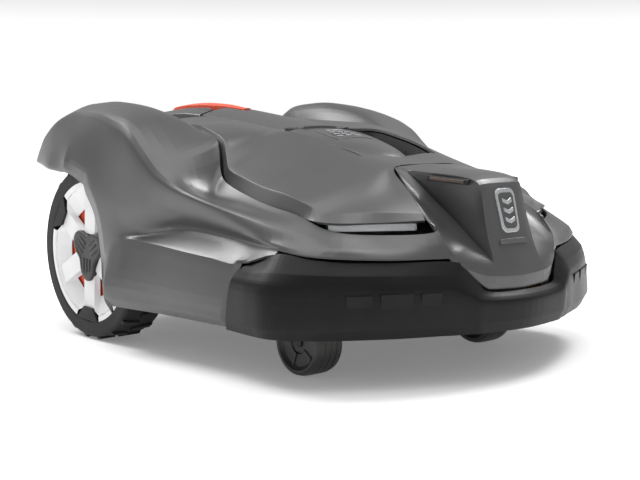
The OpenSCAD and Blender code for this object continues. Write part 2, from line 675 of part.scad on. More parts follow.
module rim() {
    difference() {
        rotate([0, -90, 0]) rotate_extrude() polygon([
            [axle_r, 14], [22, 14], [30, 10], [rim_r - 12, 4], [rim_r, 2],
            [rim_r, tyre_w - 2], [rim_r - 5, tyre_w - 2], [rim_r - 7, 10],
            [34, 16], [24, 44], [axle_r, 44]
        ]);
        rim_wedge(20, 0.2);
        for (a = [0:60:300]) rotate([wedge_angles[0] + 30 + a, 0, 0])
            translate([-30, 0, 0]) rotate([90, 0, 90])
                linear_extrude(40) polygon([[44, -9], [64, -13], [64, 13], [44, 9]]);
    }
}
module rim_insert() {
    translate([-24, 0, 0]) difference() {
        bar_x(78, 0, 2.5);
        bar_x(32.5, -1, 4);
    }
}
module hub_cap() {
    translate([-9, 0, 0]) rotate([90, 0, 90]) linear_extrude(10) hull()
        for (a = wedge_angles) rotate(a) translate([24, 0]) circle(13, $fn = 32);
}
module axle() { bar_x(axle_r, 120 - wheel_face_x, -10.2); }
module tyre_left() { color(dark) at_wheel() tyre(); }
module tyre_right() { color(dark) mirror([1, 0, 0]) at_wheel() tyre(); }
module rim_left() { color(white) at_wheel() rim(); }
module rim_right() { color(white) mirror([1, 0, 0]) at_wheel() rim(); }
module rim_insert_left() { color(orange) at_wheel() rim_insert(); }
module rim_insert_right() { color(orange) mirror([1, 0, 0]) at_wheel() rim_insert(); }
module hub_cap_left() { color(dark) at_wheel() hub_cap(); }
module hub_cap_right() { color(dark) mirror([1, 0, 0]) at_wheel() hub_cap(); }
module axle_left() { color(steel) at_wheel() axle(); }
module axle_right() { color(steel) mirror([1, 0, 0]) at_wheel() axle(); }

// ---- Casters: the same part on both sides, wheel on the -X side of its leg ----
module caster_fork() {
    translate([0, 0, floor_z - 6.5]) cylinder(r = caster_pin_r, h = 46);
    translate([0, 0, floor_z - 6.5]) cylinder(r = 15, h = 5.5);
    hull() {
        translate([0, 0, floor_z - 6.5]) cylinder(r = 9, h = 4);
        translate([-5, trail, floor_z - 6.5]) cylinder(r = 7, h = 4);
    }
    translate([-5.5, trail - 9, caster_r - 9]) cube([6.5, 18, floor_z - caster_r + 3]);
    translate([0, trail, caster_r]) bar_x(5, -caster_off - 16, -2);
}
module caster_wheel() {
    translate([-caster_off, trail, caster_r]) difference() {
        rotate([0, -90, 0]) rotate_extrude() polygon([
            [0, -caster_w / 2 + 4], [caster_r - 8, -caster_w / 2 + 4],
            [caster_r - 6, -caster_w / 2], [caster_r - 2, -caster_w / 2 + 3],
            [caster_r, -caster_w / 2 + 9], [caster_r, caster_w / 2 - 9],
            [caster_r - 2, caster_w / 2 - 3], [caster_r - 6, caster_w / 2],
            [caster_r - 8, caster_w / 2 - 4], [0, caster_w / 2 - 4]
        ]);
        bar_x(5 + run, -17, 20);
    }
}
module at_left_caster() { translate([caster_x, -caster_y, 0]) children(); }
module at_right_caster() { translate([-caster_x, -caster_y, 0]) children(); }
module caster_fork_left() { color(dark) at_left_caster() caster_fork(); }
module caster_fork_right() { color(dark) at_right_caster() caster_fork(); }
module caster_wheel_left() { color(dark) at_left_caster() caster_wheel(); }
module caster_wheel_right() { color(dark) at_right_caster() caster_wheel(); }

// ---- Keys under the hatch ----
module key(i) {
    k = key_places[i];
    translate([k[0], k[1], panel_z + 1]) union() {
        cylinder(r = k[2], h = 6);
        translate([0, 0, -3]) cylinder(r = k[2] - 1, h = 3);
    }
}
module power_key() { color(orange) key(0); }
module start_key() { color([0.2, 0.5, 0.25]) key(1); }
module menu_key() { color([0.5, 0.5, 0.5]) key(2); }

chassis_base();
chassis_top();
battery_pack();
main_board();
gearmotor_left();
gearmotor_right();
guide_rods();
height_motor();
charge_contacts();
carry_handle();
cover_mounts();
keypad_panel();
display_glass();
chassis_screws();
height_screw();
cutter_motor();
blade_disc();
blade_screws();
skid_plate();
blade_1();
blade_2();
blade_3();
tyre_left();
tyre_right();
rim_left();
rim_right();
rim_insert_left();
rim_insert_right();
hub_cap_left();
hub_cap_right();
axle_left();
axle_right();
caster_fork_left();
caster_fork_right();
caster_wheel_left();
caster_wheel_right();
body_shell();
hood();
bumper();
nose_badge();
headlight_left();
headlight_right();
lens_left();
lens_right();
sonar_left();
sonar_right();
channel_trim();
spine_front();
spine_rear();
stop_recess();
rear_deck();
hatch_pin();
display_hatch();
stop_button();
power_key();
start_key();
menu_key();
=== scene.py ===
"""Robotic lawn mower: the looks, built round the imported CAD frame.

Lengths in the style lines and helpers are millimetres; MM turns them into Blender's metres.
The mower faces -Y and is symmetric about X = 0, so most outlines are given for +X only.
"""

import json
import math

import bmesh
import bpy
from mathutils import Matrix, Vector

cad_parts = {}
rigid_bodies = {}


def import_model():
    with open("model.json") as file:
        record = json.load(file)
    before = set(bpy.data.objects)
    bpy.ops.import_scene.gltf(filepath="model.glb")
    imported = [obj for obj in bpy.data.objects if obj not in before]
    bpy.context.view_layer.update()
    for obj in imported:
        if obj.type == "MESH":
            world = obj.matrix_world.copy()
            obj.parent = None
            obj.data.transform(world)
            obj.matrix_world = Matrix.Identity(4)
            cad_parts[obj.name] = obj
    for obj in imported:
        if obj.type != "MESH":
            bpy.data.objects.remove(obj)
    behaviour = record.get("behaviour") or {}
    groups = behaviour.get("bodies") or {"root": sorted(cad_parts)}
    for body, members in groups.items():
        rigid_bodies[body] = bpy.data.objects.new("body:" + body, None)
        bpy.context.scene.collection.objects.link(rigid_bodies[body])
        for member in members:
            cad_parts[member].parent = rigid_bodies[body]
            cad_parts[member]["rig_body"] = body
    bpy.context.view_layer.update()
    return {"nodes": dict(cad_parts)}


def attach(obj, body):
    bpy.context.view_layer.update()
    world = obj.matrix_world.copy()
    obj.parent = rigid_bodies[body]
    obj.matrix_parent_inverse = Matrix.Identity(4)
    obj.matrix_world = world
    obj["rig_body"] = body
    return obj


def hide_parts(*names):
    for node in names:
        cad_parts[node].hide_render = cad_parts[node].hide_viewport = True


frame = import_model()

MM = 0.001
NODES = frame["nodes"]
SIDES = (("left", 1), ("right", -1))
SAME_POINT = 0.01 * MM  # points closer than this are one
SHARP = math.radians(26)  # a skin shows an edge where it folds more than this
FLAT = math.radians(0.6)  # faces of a CAD part that differ less than this are one

# ---------------------------------------------------------------- style lines
# Each key is (station, x, y, z) on the +X half. Stations run from the fender tip (0)
# round the side and the front corner (17) to the inner end of the headlight (19) and
# on to the middle of the nose (26).
GAP_LINE = [
    (0, 170, 351, 232), (1, 162, 328, 243), (2, 155, 288, 256), (4, 149, 200, 270),
    (6, 147, 122, 276), (8, 152, 75, 276), (9, 157, 52, 274), (10, 163, 8, 265),
    (11, 170, -9, 246), (12, 180, -26, 221), (13, 190, -55, 210), (14, 200, -108, 199),
    (15, 203, -150, 191), (16, 199, -188, 184), (17, 187, -232, 168),
    (18, 143, -262, 163), (19, 97, -301, 166), (20, 92, -288, 180),
    (21, 82, -258, 198), (22, 70, -228, 216), (23, 57, -199, 231.5),
    (24, 49, -198, 233), (25, 25, -197, 234), (26, 0, -196, 234.5),
]
CREST_LINE = [
    (0, 194, 355, 249), (1, 195, 337, 267), (2, 190, 304, 289), (3, 181, 271, 304),
    (4, 179, 236, 309), (5, 178, 198, 311), (6, 177, 158, 308), (7, 174, 122, 302),
    (8, 169, 87, 292), (9, 165, 52, 278), (10, 175, 5, 260), (11, 183, -10, 240),
    (12, 192, -26, 210), (13, 204, -44, 196), (14, 212, -100, 192),
    (15, 212, -148, 186), (16, 206, -196, 178), (17, 191, -238, 163),
    (18, 147, -267, 158), (19, 98, -306, 160), (20, 92, -299, 168),
    (21, 81, -276, 182), (22, 69, -247, 202), (23, 56, -217, 228),
    (24, 54, -219, 229.5), (25, 27, -219, 231.5), (26, 0, -219, 232.5),
]
RIDGE_LINE = [
    (0, 213, 358, 245), (1, 217, 337, 262), (2, 222, 292, 284), (3, 226, 240, 296),
    (4, 230, 200, 297), (5, 236, 160, 295), (6, 244, 120, 288), (7, 247, 90, 282),
    (8, 250, 66, 271), (9, 251, 44, 252), (10, 251, 18, 230), (11, 250, -2, 220),
    (12, 249, -22, 212), (13, 246, -50, 203), (14, 240, -95, 191),
    (15, 234, -142, 181), (16, 224, -196, 169), (17, 201, -245, 157),
    (18, 152, -275, 152), (19, 99, -311, 153), (20, 91, -308, 158),
    (21, 78, -294, 168), (22, 66, -275, 182), (23, 52, -255, 200),
    (23.4, 42, -253, 190), (23.8, 35, -300, 213), (24, 34, -311, 221),
    (25, 24, -312, 222.5), (26, 0, -312, 223),
]
SIDE_LINE = [
    (0, 216, 359.5, 235), (1, 223, 335, 243), (2, 233, 290, 252), (4, 248, 202, 262),
    (6, 254, 122, 240), (8, 256, 62, 215), (10, 252, 14, 195), (12, 247, -24, 185),
    (14, 240, -98, 175), (15, 238, -146, 167), (16, 231, -202, 158),
    (17, 209, -251, 151), (18, 157, -282, 147), (19, 97, -315, 147),
    (20, 88, -316, 149), (21, 75, -309, 155), (22, 62, -300, 163),
    (23, 47, -290, 172), (23.4, 39, -284, 163), (23.8, 34, -310, 184),
    (24, 36, -318, 190), (25, 25, -320, 190), (26, 0, -321, 190),
]
LOWER_LINE = [
    (0, 218, 360, 225), (1, 229, 326, 222), (2, 242, 286, 219), (3, 253, 240, 217),
    (4, 260, 205, 215), (5, 262, 168, 205), (6, 261, 120, 192), (8, 257, 61, 175),
    (10, 248, 11, 172), (12, 240, -26, 171), (14, 236, -90, 166),
    (15, 236, -141, 160), (16, 236, -203, 153), (17, 216, -249, 147),
    (18, 159, -286, 143), (19, 95, -318, 142), (20, 85, -322, 142),
    (21, 74, -321, 145), (22, 59, -319, 147), (23, 43, -316, 149),
    (23.4, 39, -313, 146), (24, 38, -328, 155), (25, 26, -330, 155), (26, 0, -331, 155),
]
SHELF_INNER = [
    (0, 217, 359, 221), (4, 260, 203, 211), (5, 262, 140, 166), (6, 261, 103, 150),
    (7, 259, 76, 146), (8, 255, 56, 145.5), (9, 245, 38, 147.5), (10, 238, 12, 153),
    (11, 233, -12, 156.5), (12, 230, -37, 157.5), (14, 228, -92, 155),
    (15, 229, -143, 151.5), (16, 237, -202, 148), (17, 222, -247, 143),
    (18, 160, -289, 139), (19, 93, -320, 138.5), (20, 84, -325, 137),
    (21, 76, -328, 135.5), (22, 60, -333, 133), (23, 40, -338, 131),
    (24, 39, -338, 131), (25, 27, -339, 131), (26, 0, -341, 131),
]
SHELF_OUTER = [
    (0, 217, 358, 217), (4, 260, 203, 206), (5, 262, 127, 112), (6, 262, 98, 130),
    (7, 261, 74, 139), (8, 260, 50, 142), (9, 260, 25, 141), (10, 259, -2, 139.5),
    (12, 258, -52, 136), (14, 255, -108, 132.5), (15, 250, -148, 129.5),
    (16, 240, -201, 144), (17, 222, -245, 138), (18, 160, -287, 134),
    (19, 91, -321.5, 134.5), (20, 82, -327, 131), (21, 75, -331, 126),
    (22, 63, -337, 121), (23, 52, -341, 118), (24, 42, -343, 117),
    (25, 27, -344.5, 116), (26, 0, -346, 115),
]
BEVEL_LINE = [
    (0, 217, 358, 213), (4, 260, 203, 200), (5, 273, 106, 73), (6, 280, 89, 72),
    (8, 276, 50, 70), (10, 269, -2, 69), (12, 267, -52, 69), (14, 264, -108, 69),
    (15, 261, -134, 69), (15.1, 260.5, -137, 69), (16, 238, -198, 130), (18, 158, -284, 124),
    (20, 76, -328, 121), (21, 69, -332, 115), (22, 60, -338, 108),
    (23, 52, -341, 102.5), (24, 42, -343, 101.5), (26, 0, -346, 100),
]
HEM_LINE = [
    (0, 217, 358, 209), (4, 260, 203, 194), (5, 265, 102, 56), (6, 268, 86, 56),
    (8, 264, 50, 56), (10, 257, -2, 56), (12, 254, -52, 56), (14, 251, -108, 56),
    (15, 248, -134, 56), (15.1, 247.5, -137, 56), (16, 236, -196, 120), (18, 156, -282, 110),
    (21, 62, -326, 106), (23, 50, -336, 103), (26, 0, -340, 100),
]
SHELL_LAST = 26
# Bumper, from its side end (0) to the middle of the front (10)
BUMPER_TOP = [
    (0, 246, -152, 126.5), (1, 242, -180, 136), (2, 239, -209, 145.5),
    (3, 223, -244, 140.5), (4, 194, -267, 137.5), (5, 146, -295, 136),
    (6, 92, -323, 135.5), (7, 80, -330, 127), (8, 67, -338, 113),
    (9, 54, -343.5, 101), (10, 0, -348, 99),
]
BUMPER_BEVEL = [
    (0, 250, -149, 122), (1, 256, -184, 124), (2, 254, -215, 126.5),
    (3, 238, -247, 126), (4, 206, -274, 124.5), (5, 155, -303, 123),
    (6, 106, -327, 121.5), (7, 89, -335, 117), (8, 76, -342, 106),
    (9, 60, -348, 97), (10, 0, -355, 95),
]
BUMPER_FACE = [
    (0, 258, -144, 112), (1, 265, -184, 112), (2, 264, -216, 112),
    (3, 247, -246, 112), (4, 213, -275, 112), (5, 162, -307, 111),
    (6, 115, -330, 109), (7, 97, -339, 106), (8, 82, -346, 98),
    (9, 64, -352, 92), (10, 0, -360, 90),
]
BUMPER_LOW = [
    (0, 261, -139, 68), (1, 268, -186, 68), (2, 268, -219, 68), (3, 250, -249, 68),
    (4, 216, -278, 68), (5, 164, -309, 68), (6, 115, -331, 68), (7, 98, -339, 68),
    (8, 82, -345, 68), (9, 64, -351, 68), (10, 0, -359, 68),
]
BUMPER_HEM = [
    (0, 260, -139, 56), (1, 264, -186, 56), (2, 263, -217, 56), (3, 246, -244, 56),
    (4, 212, -273, 56), (5, 161, -304, 56), (6, 113, -325, 56), (7, 96, -333, 56),
    (8, 80, -339, 56), (9, 62, -346, 56), (10, 0, -354, 56),
]
BUMPER_LAST = 10
# Hood wings, from their rear edge (0) to the inner end of the front edge (12)
HOOD_FOOT = [
    (0, 145, 170, 270), (1, 145, 92, 273), (2, 154, 52, 270), (3, 160, 8, 260),
    (4, 167, -11, 241), (5, 177, -29, 218), (6, 187, -57, 207), (7, 197, -110, 196),
    (8, 200, -150, 188), (9, 196, -188, 181), (10, 189, -227, 177),
    (11, 146, -254, 176), (12, 95, -285, 178),
]
HOOD_CREASE = [
    (0, 141, 170, 281), (1, 141, 92, 281), (2, 151, 50, 278), (3, 158, 0, 264),
    (4, 167, -19, 246), (5, 178, -39, 228.5), (6, 184, -73, 220), (7, 190, -117, 211.5),
    (8, 192.5, -160, 205.5), (9, 190, -193, 196), (10, 177, -214, 186.5),
    (11, 140, -248, 187), (12, 91, -277, 185),
]
HOOD_DECK = [
    (0, 104, 170, 287), (1, 104, 92, 283.5), (2, 106, 50, 281), (3, 112, 4, 272.5),
    (4, 126, -18, 260.5), (5, 130, -38, 251), (6, 130, -66, 245), (7, 131, -112, 235),
    (8, 129, -156, 225.5), (9, 127, -190, 217), (10, 119, -214, 209.5),
    (11, 97, -233, 205), (12, 81, -250, 204),
]
HOOD_INNER = [
    (0, 57, 170, 290.5), (1, 57, 92, 283), (2, 57, 50, 278), (3, 58, 10, 274),
    (4, 79, -14, 274), (5, 83, -34, 272.5), (6, 80, -58, 268.5), (7, 75, -107, 257.5),
    (8, 66, -150, 245), (9, 62, -170, 239.5), (10, 59, -186, 235.5),
    (11, 58, -193, 233.5), (12, 57, -195.5, 232.5),
]
HOOD_MIDDLE = [
    (0, 0, 170, 292), (7, 0, -120, 262), (8, 0, -153, 241.5), (9, 0, -168, 239),
    (10, 0, -180, 237), (11, 0, -188, 235.8), (12, 0, -194, 234.7),
]
HOOD_LAST = 12


# How softly the skin bends over each line, as (station, softness) keys: 0 is an edge, 1 is smooth
SHELL_SOFT = [
    [(0, 1)],
    [(0, 0.9), (8, 0.9), (9, 0.4), (12, 0.3), (14, 0.7), (18, 0.3), (20, 0.3), (22, 0.6), (26, 0.2)],
    [(0, 0.1), (5, 0.1), (9, 0.4), (12, 0.4), (19, 0.6), (22, 0.9), (24, 0.25)],
    [(0, 1), (19, 1), (26, 1)],
    [(0, 1), (19, 1), (26, 1)],
    [(0, 1), (6, 0.8), (8, 0.3), (15, 0.2), (18, 0.3), (26, 0.3)],
    [(0, 1), (6, 0.8), (8, 0.1), (15, 0), (26, 0)],
    [(0, 1), (5, 0.3), (15, 0.2), (26, 0.3)],
    [(0, 1)],
]
SHELL_CORNERS = (23, 24)
SHELL_CRISP = {
    1: [(0, 0.5), (8, 0.5), (9, 0.2), (13, 0.4), (26, 0.4)],
    2: [(0, 0.1), (5, 0.1), (9, 0.4), (26, 0.4)],
    6: [(0, 0)],
}


def spot(key):
    return Vector(key[1:4])


def chord(line, i, j):
    return (spot(line[j]) - spot(line[i])) / (line[j][0] - line[i][0])


def on_line(line, station, corners=()):
    """Point of a style line at a station, on a smooth curve that may turn at its corners.

    A line that ends on the middle plane crosses it square on.
    """
    i = 0
    while i < len(line) - 2 and station > line[i + 1][0]:
        i += 1
    step = line[i + 1][0] - line[i][0]
    before = i if line[i][0] in corners else max(i - 1, 0)
    after = i + 1 if line[i + 1][0] in corners else min(i + 2, len(line) - 1)
    u = (station - line[i][0]) / step
    leaving = chord(line, i, after)
    if i == len(line) - 2 and line[-1][1] == 0:
        leaving = Vector((leaving.x, 0, 0))
    return (
        spot(line[i]) * ((1 + 2 * u) * (1 - u) ** 2)
        + spot(line[i + 1]) * (u * u * (3 - 2 * u))
        + chord(line, before, i + 1) * (step * u * (1 - u) ** 2)
        - leaving * (step * u * u * (1 - u))
    )


def flip(p):
    return Vector((-p[0], p[1], p[2]))


def keyed(keys, station):
    """Value at a station, straight between (station, value) keys."""
    for (s0, v0), (s1, v1) in zip(keys, keys[1:]):
        if station <= s1:
            return v0 + (v1 - v0) * max(station - s0, 0) / (s1 - s0)
    return keys[-1][1]


def bend(column, i, softness, length):
    """Tangent of a column of points at its point i, for a stretch of the given length."""
    before = column[i] - column[i - 1] if i > 0 else None
    after = column[i + 1] - column[i] if i < len(column) - 1 else None
    if before is None or after is None or min(before.length, after.length) < 0.01:
        return None
    smooth = before * (after.length / before.length) + after * (before.length / after.length)
    return smooth * (length / (before.length + after.length)) * softness


def across(column, i, u, soft, station):
    """Point part of the way from point i of a column to the next, bent as its softness says."""
    a, b = column[i], column[i + 1]
    straight = b - a
    ends = []
    for k in (i, i + 1):
        softness = keyed(soft[k], station)
        turned = bend(column, k, softness, straight.length)
        ends.append(straight if turned is None else straight * (1 - softness) + turned)
    return (
        a * ((1 + 2 * u) * (1 - u) ** 2)
        + b * (u * u * (3 - 2 * u))
        + ends[0] * (u * (1 - u) ** 2)
        - ends[1] * (u * u * (1 - u))
    )


def steps(last, count, extra=()):
    """Stations from 0 to last, with some more of them where a part needs fine detail."""
    return sorted({j / count for j in range(last * count + 1)} | set(extra))


def even(bands, count):
    """The same even split for each strip between two style lines."""
    return [[k / bands for k in range(bands)]] * count


def surface(lines, cuts, soft, splits, corners=(), crisp={}, passes=3):
    """Rows of points of the skin that runs through the style lines.

    splits gives each strip its rows, as shares of the way to the next line. The skin is
    eased across its rows, less so at the crisp lines, whose keys give how much. marks
    gives each row's line and share.
    """
    columns = [[on_line(line, s, corners) for line in lines] for s in cuts]
    marks = [(i, u) for i, split in enumerate(splits) for u in split] + [(len(lines) - 1, 0)]
    rows = []
    for i, u in marks[:-1]:
        rows.append([across(c, i, u, soft, s) for c, s in zip(columns, cuts)])
    rows.append([column[-1] for column in columns])
    for _ in range(passes):
        eased = [list(row) for row in rows]
        for k in range(1, len(rows) - 1):
            for j, s in enumerate(cuts):
                line, share = marks[k]
                ease = 0.5 if share or line not in crisp else keyed(crisp[line], s)
                middle = (rows[k - 1][j] + rows[k + 1][j]) / 2
                eased[k][j] = rows[k][j].lerp(middle, ease)
        rows = eased
    return rows, marks


def lip(rows, edge, width):
    """Turns the skin inwards within width of an edge of (point, depth) pairs."""
    for row in rows:
        for j, p in enumerate(row):
            gap, depth = min(((p - q).length, depth) for q, depth in edge)
            if gap < width:
                row[j] = p - Vector((depth * (1 - gap / width), 0, 0))


def full_width(rows):
    """Rows on the +X half, carried on over the middle to the -X half."""
    return [row + [flip(p) for p in reversed(row[:-1])] for row in rows]


def both_sides(rows):
    """Rows from the middle outwards, with their mirror images before them."""
    return [[flip(p) for p in row] for row in reversed(rows[1:])] + rows


# ------------------------------------------------------------- mesh building
def new_object(name, bm, material, smooth=True):
    mesh = bpy.data.meshes.new(name)
    bm.to_mesh(mesh)
    bm.free()
    obj = bpy.data.objects.new(name, mesh)
    bpy.context.scene.collection.objects.link(obj)
    mesh.materials.append(material)
    for face in mesh.polygons:
        face.use_smooth = smooth
    return obj


def skin(name, rows, material, body, *nodes, keep=None, round_off=None, wall=3.0, radius=2.0):
    """Moulded shell over a grid of points in millimetres, as a piece that rides on a body.

    keep(i, j) says which cells are skin. round_off(i, j, along) is the share of the radius
    on the edge that leaves point (i, j) along its row (along=True) or down its column.
    """
    bm = bmesh.new()
    weight = bm.edges.layers.float.new("bevel_weight_edge")
    points = {}

    def vertex(i, j):
        if (i, j) not in points:
            points[i, j] = bm.verts.new(Vector(rows[i][j]) * MM)
        return points[i, j]

    for i in range(len(rows) - 1):
        for j in range(len(rows[0]) - 1):
            if keep is None or keep(i, j):
                bm.faces.new([vertex(i, j), vertex(i, j + 1), vertex(i + 1, j + 1), vertex(i + 1, j)])
    if round_off is not None:
        for (i, j), point in points.items():
            for along, other in ((True, (i, j + 1)), (False, (i + 1, j))):
                edge = bm.edges.get((point, points[other])) if other in points else None
                if edge is not None:
                    edge[weight] = round_off(i, j, along)
    bmesh.ops.remove_doubles(bm, verts=bm.verts, dist=0.02 * MM)
    obj = new_object(name, bm, material)
    thicken = obj.modifiers.new("wall", "SOLIDIFY")
    thicken.thickness = wall * MM
    thicken.offset = -1
    thicken.bevel_convex = 0.3
    soften = obj.modifiers.new("edges", "BEVEL")
    soften.width = radius * MM
    soften.segments = 3
    soften.limit_method = "WEIGHT"
    soften.use_clamp_overlap = True
    settle(obj)
    obj.data.set_sharp_from_angle(angle=SHARP)
    finish(obj, body, material.name, *nodes)


def round_rows(*rows):
    """Rounds the edges that run along some rows of a skin."""
    return lambda i, j, along: 1 if along and i in rows else 0


def settle(obj):
    """Applies the modifiers, so that the mesh is the one that shows."""
    bpy.context.view_layer.update()
    graph = bpy.context.evaluated_depsgraph_get()
    mesh = bpy.data.meshes.new_from_object(obj.evaluated_get(graph))
    obj.modifiers.clear()
    obj.data = mesh
    return obj


def block(bm, front, back):
    """Closed block between two outlines with the same number of points."""
    a = [bm.verts.new(p * MM) for p in front]
    b = [bm.verts.new(p * MM) for p in back]
    bm.faces.new(a)
    bm.faces.new(list(reversed(b)))
    for k in range(len(a)):
        n = (k + 1) % len(a)
        bm.faces.new((a[n], a[k], b[k], b[n]))


def bridged(bm, outlines):
    """Skin over a row of outlines with the same number of points; gives their vertices."""
    rings = [[bm.verts.new(p * MM) for p in outline] for outline in outlines]
    for a, b in zip(rings, rings[1:]):
        for k in range(len(a)):
            n = (k + 1) % len(a)
            bm.faces.new((a[k], a[n], b[n], b[k]))
    return rings


def finish(obj, body, slot, *nodes):
    """Says what a piece rides on and hides its nodes; slot is not used."""
    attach(obj, body)
    if nodes:
        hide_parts(*nodes)
    return obj


def rounded(obj, width, angle=30, even_shade=True):
    """Rounds the sharp edges of a piece; even_shade keeps its flat faces evenly lit."""
    soften = obj.modifiers.new("edges", "BEVEL")
    soften.width = width * MM
    soften.segments = 2
    soften.limit_method = "ANGLE"
    soften.angle_limit = math.radians(angle)
    soften.harden_normals = even_shade
    return settle(obj)


def refined(node, material, width, slot=None):
    """The CAD part with its edges rounded off, for mechanical pieces."""
    source = NODES[node]
    bm = bmesh.new()
    bm.from_mesh(source.data)
    bm.transform(source.matrix_world)
    bmesh.ops.remove_doubles(bm, verts=bm.verts, dist=SAME_POINT)
    bmesh.ops.dissolve_limit(
        bm, angle_limit=FLAT, verts=bm.verts, edges=bm.edges, delimit={"NORMAL"}
    )
    obj = new_object(f"{node}_refined", bm, material)
    rounded(obj, width)
    return finish(obj, source["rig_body"], slot or material.name, node)


def piece(name, bm, material, width, body, *nodes):
    """Closes off a mesh as a piece with rounded edges."""
    bmesh.ops.recalc_face_normals(bm, faces=bm.faces)
    return finish(rounded(new_object(name, bm, material), width), body, material.name, *nodes)


def mirrored_pair(name, make, material, width, *nodes):
    """A piece on each side of the cover, one the mirror of the other."""
    for side, sign in SIDES:
        bm = bmesh.new()
        make(bm)
        for vert in bm.verts:
            vert.co.x *= sign
        piece(f"{name}_{side}", bm, material, width, "cover", *[f"{node}_{side}" for node in nodes])


# ----------------------------------------------------------------- materials
DUST = (0.34, 0.31, 0.27)
COLOR_A, COLOR_B, COLOR_OUT = 6, 7, 2  # sockets of the colour mix node


def noise(tree, scale, detail=4.0, stretch=(1, 1, 1)):
    """Noise fixed to the piece; stretch makes it finer along some axes."""
    nodes, links = tree.nodes, tree.links
    place = nodes.new("ShaderNodeTexCoord")
    spread = nodes.new("ShaderNodeMapping")
    texture = nodes.new("ShaderNodeTexNoise")
    spread.inputs["Scale"].default_value = stretch
    texture.inputs["Scale"].default_value = scale
    texture.inputs["Detail"].default_value = detail
    links.new(place.outputs["Object"], spread.inputs["Vector"])
    links.new(spread.outputs["Vector"], texture.inputs["Vector"])
    return texture.outputs["Fac"]


def band(tree, value, low, high, start=0.0, end=1.0):
    """Maps a value from low..high to start..end, and no further."""
    node = tree.nodes.new("ShaderNodeMapRange")
    for socket, number in zip(("From Min", "From Max", "To Min", "To Max"), (low, high, start, end)):
        node.inputs[socket].default_value = number
    tree.links.new(value, node.inputs["Value"])
    return node.outputs["Result"]


def tint(tree, share, first, second):
    """Mix of two colours; each is a colour or the socket that gives one."""
    node = tree.nodes.new("ShaderNodeMix")
    node.data_type = "RGBA"
    tree.links.new(share, node.inputs[0])
    for socket, color in ((COLOR_A, first), (COLOR_B, second)):
        if isinstance(color, tuple):
            node.inputs[socket].default_value = (*color[:3], 1)
        else:
            tree.links.new(color, node.inputs[socket])
    return node.outputs[COLOR_OUT]


def times(tree, first, second):
    node = tree.nodes.new("ShaderNodeMath")
    node.operation = "MULTIPLY"
    tree.links.new(first, node.inputs[0])
    tree.links.new(second, node.inputs[1])
    return node.outputs[0]


def scaled(color, k):
    return tuple(min(c * k, 1) for c in color)


def material(
    name, color, roughness, metallic=0.0, coat=0.0, mottle=0.1, cloud=14, grain=1100,
    spread=0.06, relief=0.25, depth=0.12, flakes=0.0, dust=0.0, scuffs=0.0, stretch=(1, 1, 1),
    specular=0.5,
):
    """Shaded surface with clouded colour, grain in its gloss and bump, flakes, dust and scuffs."""
    mat = bpy.data.materials.new(name)
    mat.use_nodes = True
    tree = mat.node_tree
    shader = tree.nodes["Principled BSDF"]
    for socket, value in (
        ("Metallic", metallic), ("Coat Weight", coat), ("Coat Roughness", 0.25),
        ("Specular IOR Level", specular),
    ):
        shader.inputs[socket].default_value = value
    clouds = band(tree, noise(tree, cloud, 5), 0.32, 0.68)
    shade = tint(tree, clouds, scaled(color, 1 - mottle), scaled(color, 1 + mottle))
    fine = noise(tree, grain, 3, stretch)
    gloss = band(tree, fine, 0.3, 0.7, roughness - spread, roughness + spread)
    if flakes:
        sparks = band(tree, noise(tree, 3200, 1), 0.6, 0.78, 0, flakes)
        shade = tint(tree, sparks, shade, scaled(color, 3.2))
    if scuffs:
        marks = band(tree, noise(tree, 42, 8, (1, 3.5, 6)), 0.62, 0.72, 0, scuffs)
        shade = tint(tree, marks, shade, scaled(color, 2.1))
    if dust:
        split = tree.nodes.new("ShaderNodeSeparateXYZ")
        place = tree.nodes.new("ShaderNodeTexCoord")
        tree.links.new(place.outputs["Object"], split.inputs["Vector"])
        low = band(tree, split.outputs["Z"], 0.17, 0.03, 0, dust)
        patches = band(tree, noise(tree, 26, 7), 0.42, 0.66)
        shade = tint(tree, times(tree, low, patches), shade, DUST)
    bump = tree.nodes.new("ShaderNodeBump")
    bump.inputs["Strength"].default_value = relief
    bump.inputs["Distance"].default_value = depth * MM
    tree.links.new(fine, bump.inputs["Height"])
    tree.links.new(bump.outputs["Normal"], shader.inputs["Normal"])
    tree.links.new(shade, shader.inputs["Base Color"])
    tree.links.new(gloss, shader.inputs["Roughness"])
    return mat


def clear_material(name, color, weight):
    mat = material(name, color, 0.1, mottle=0.03, grain=300, spread=0.05, relief=0.1)
    shader = mat.node_tree.nodes["Principled BSDF"]
    shader.inputs["Transmission Weight"].default_value = weight
    shader.inputs["IOR"].default_value = 1.49
    return mat


PAINT = material(
    "body_paint", (0.095, 0.095, 0.097), 0.37, 0.5, 0.1, mottle=0.05, cloud=9,
    relief=0.12, depth=0.06, flakes=0.12, dust=0.04,
)
HOOD_PAINT = material(
    "hood_paint", (0.1, 0.1, 0.102), 0.38, 0.5, 0.1, mottle=0.05, cloud=9,
    relief=0.12, depth=0.06, flakes=0.12,
)
RUBBER = material(
    "bumper_rubber", (0.0045, 0.0045, 0.0048), 0.42, mottle=0.15, grain=620, relief=0.4,
    depth=0.2, dust=0.01, scuffs=0.12, specular=0.22,
)
BLACK = material(
    "black_plastic", (0.009, 0.009, 0.0095), 0.45, mottle=0.15, grain=800, relief=0.35, scuffs=0.1,
    dust=0.02, specular=0.35,
)
TRIM = material("trim_black", (0.009, 0.009, 0.01), 0.32, mottle=0.12, grain=900, relief=0.15)
TYRE = material(
    "tyre_rubber", (0.008, 0.008, 0.008), 0.6, mottle=0.2, grain=520, relief=0.5, depth=0.25,
    dust=0.02, scuffs=0.12, specular=0.35,
)
CASTER = material(
    "caster_rubber", (0.018, 0.018, 0.019), 0.5, mottle=0.2, grain=620, relief=0.4, dust=0.08,
    scuffs=0.2,
)
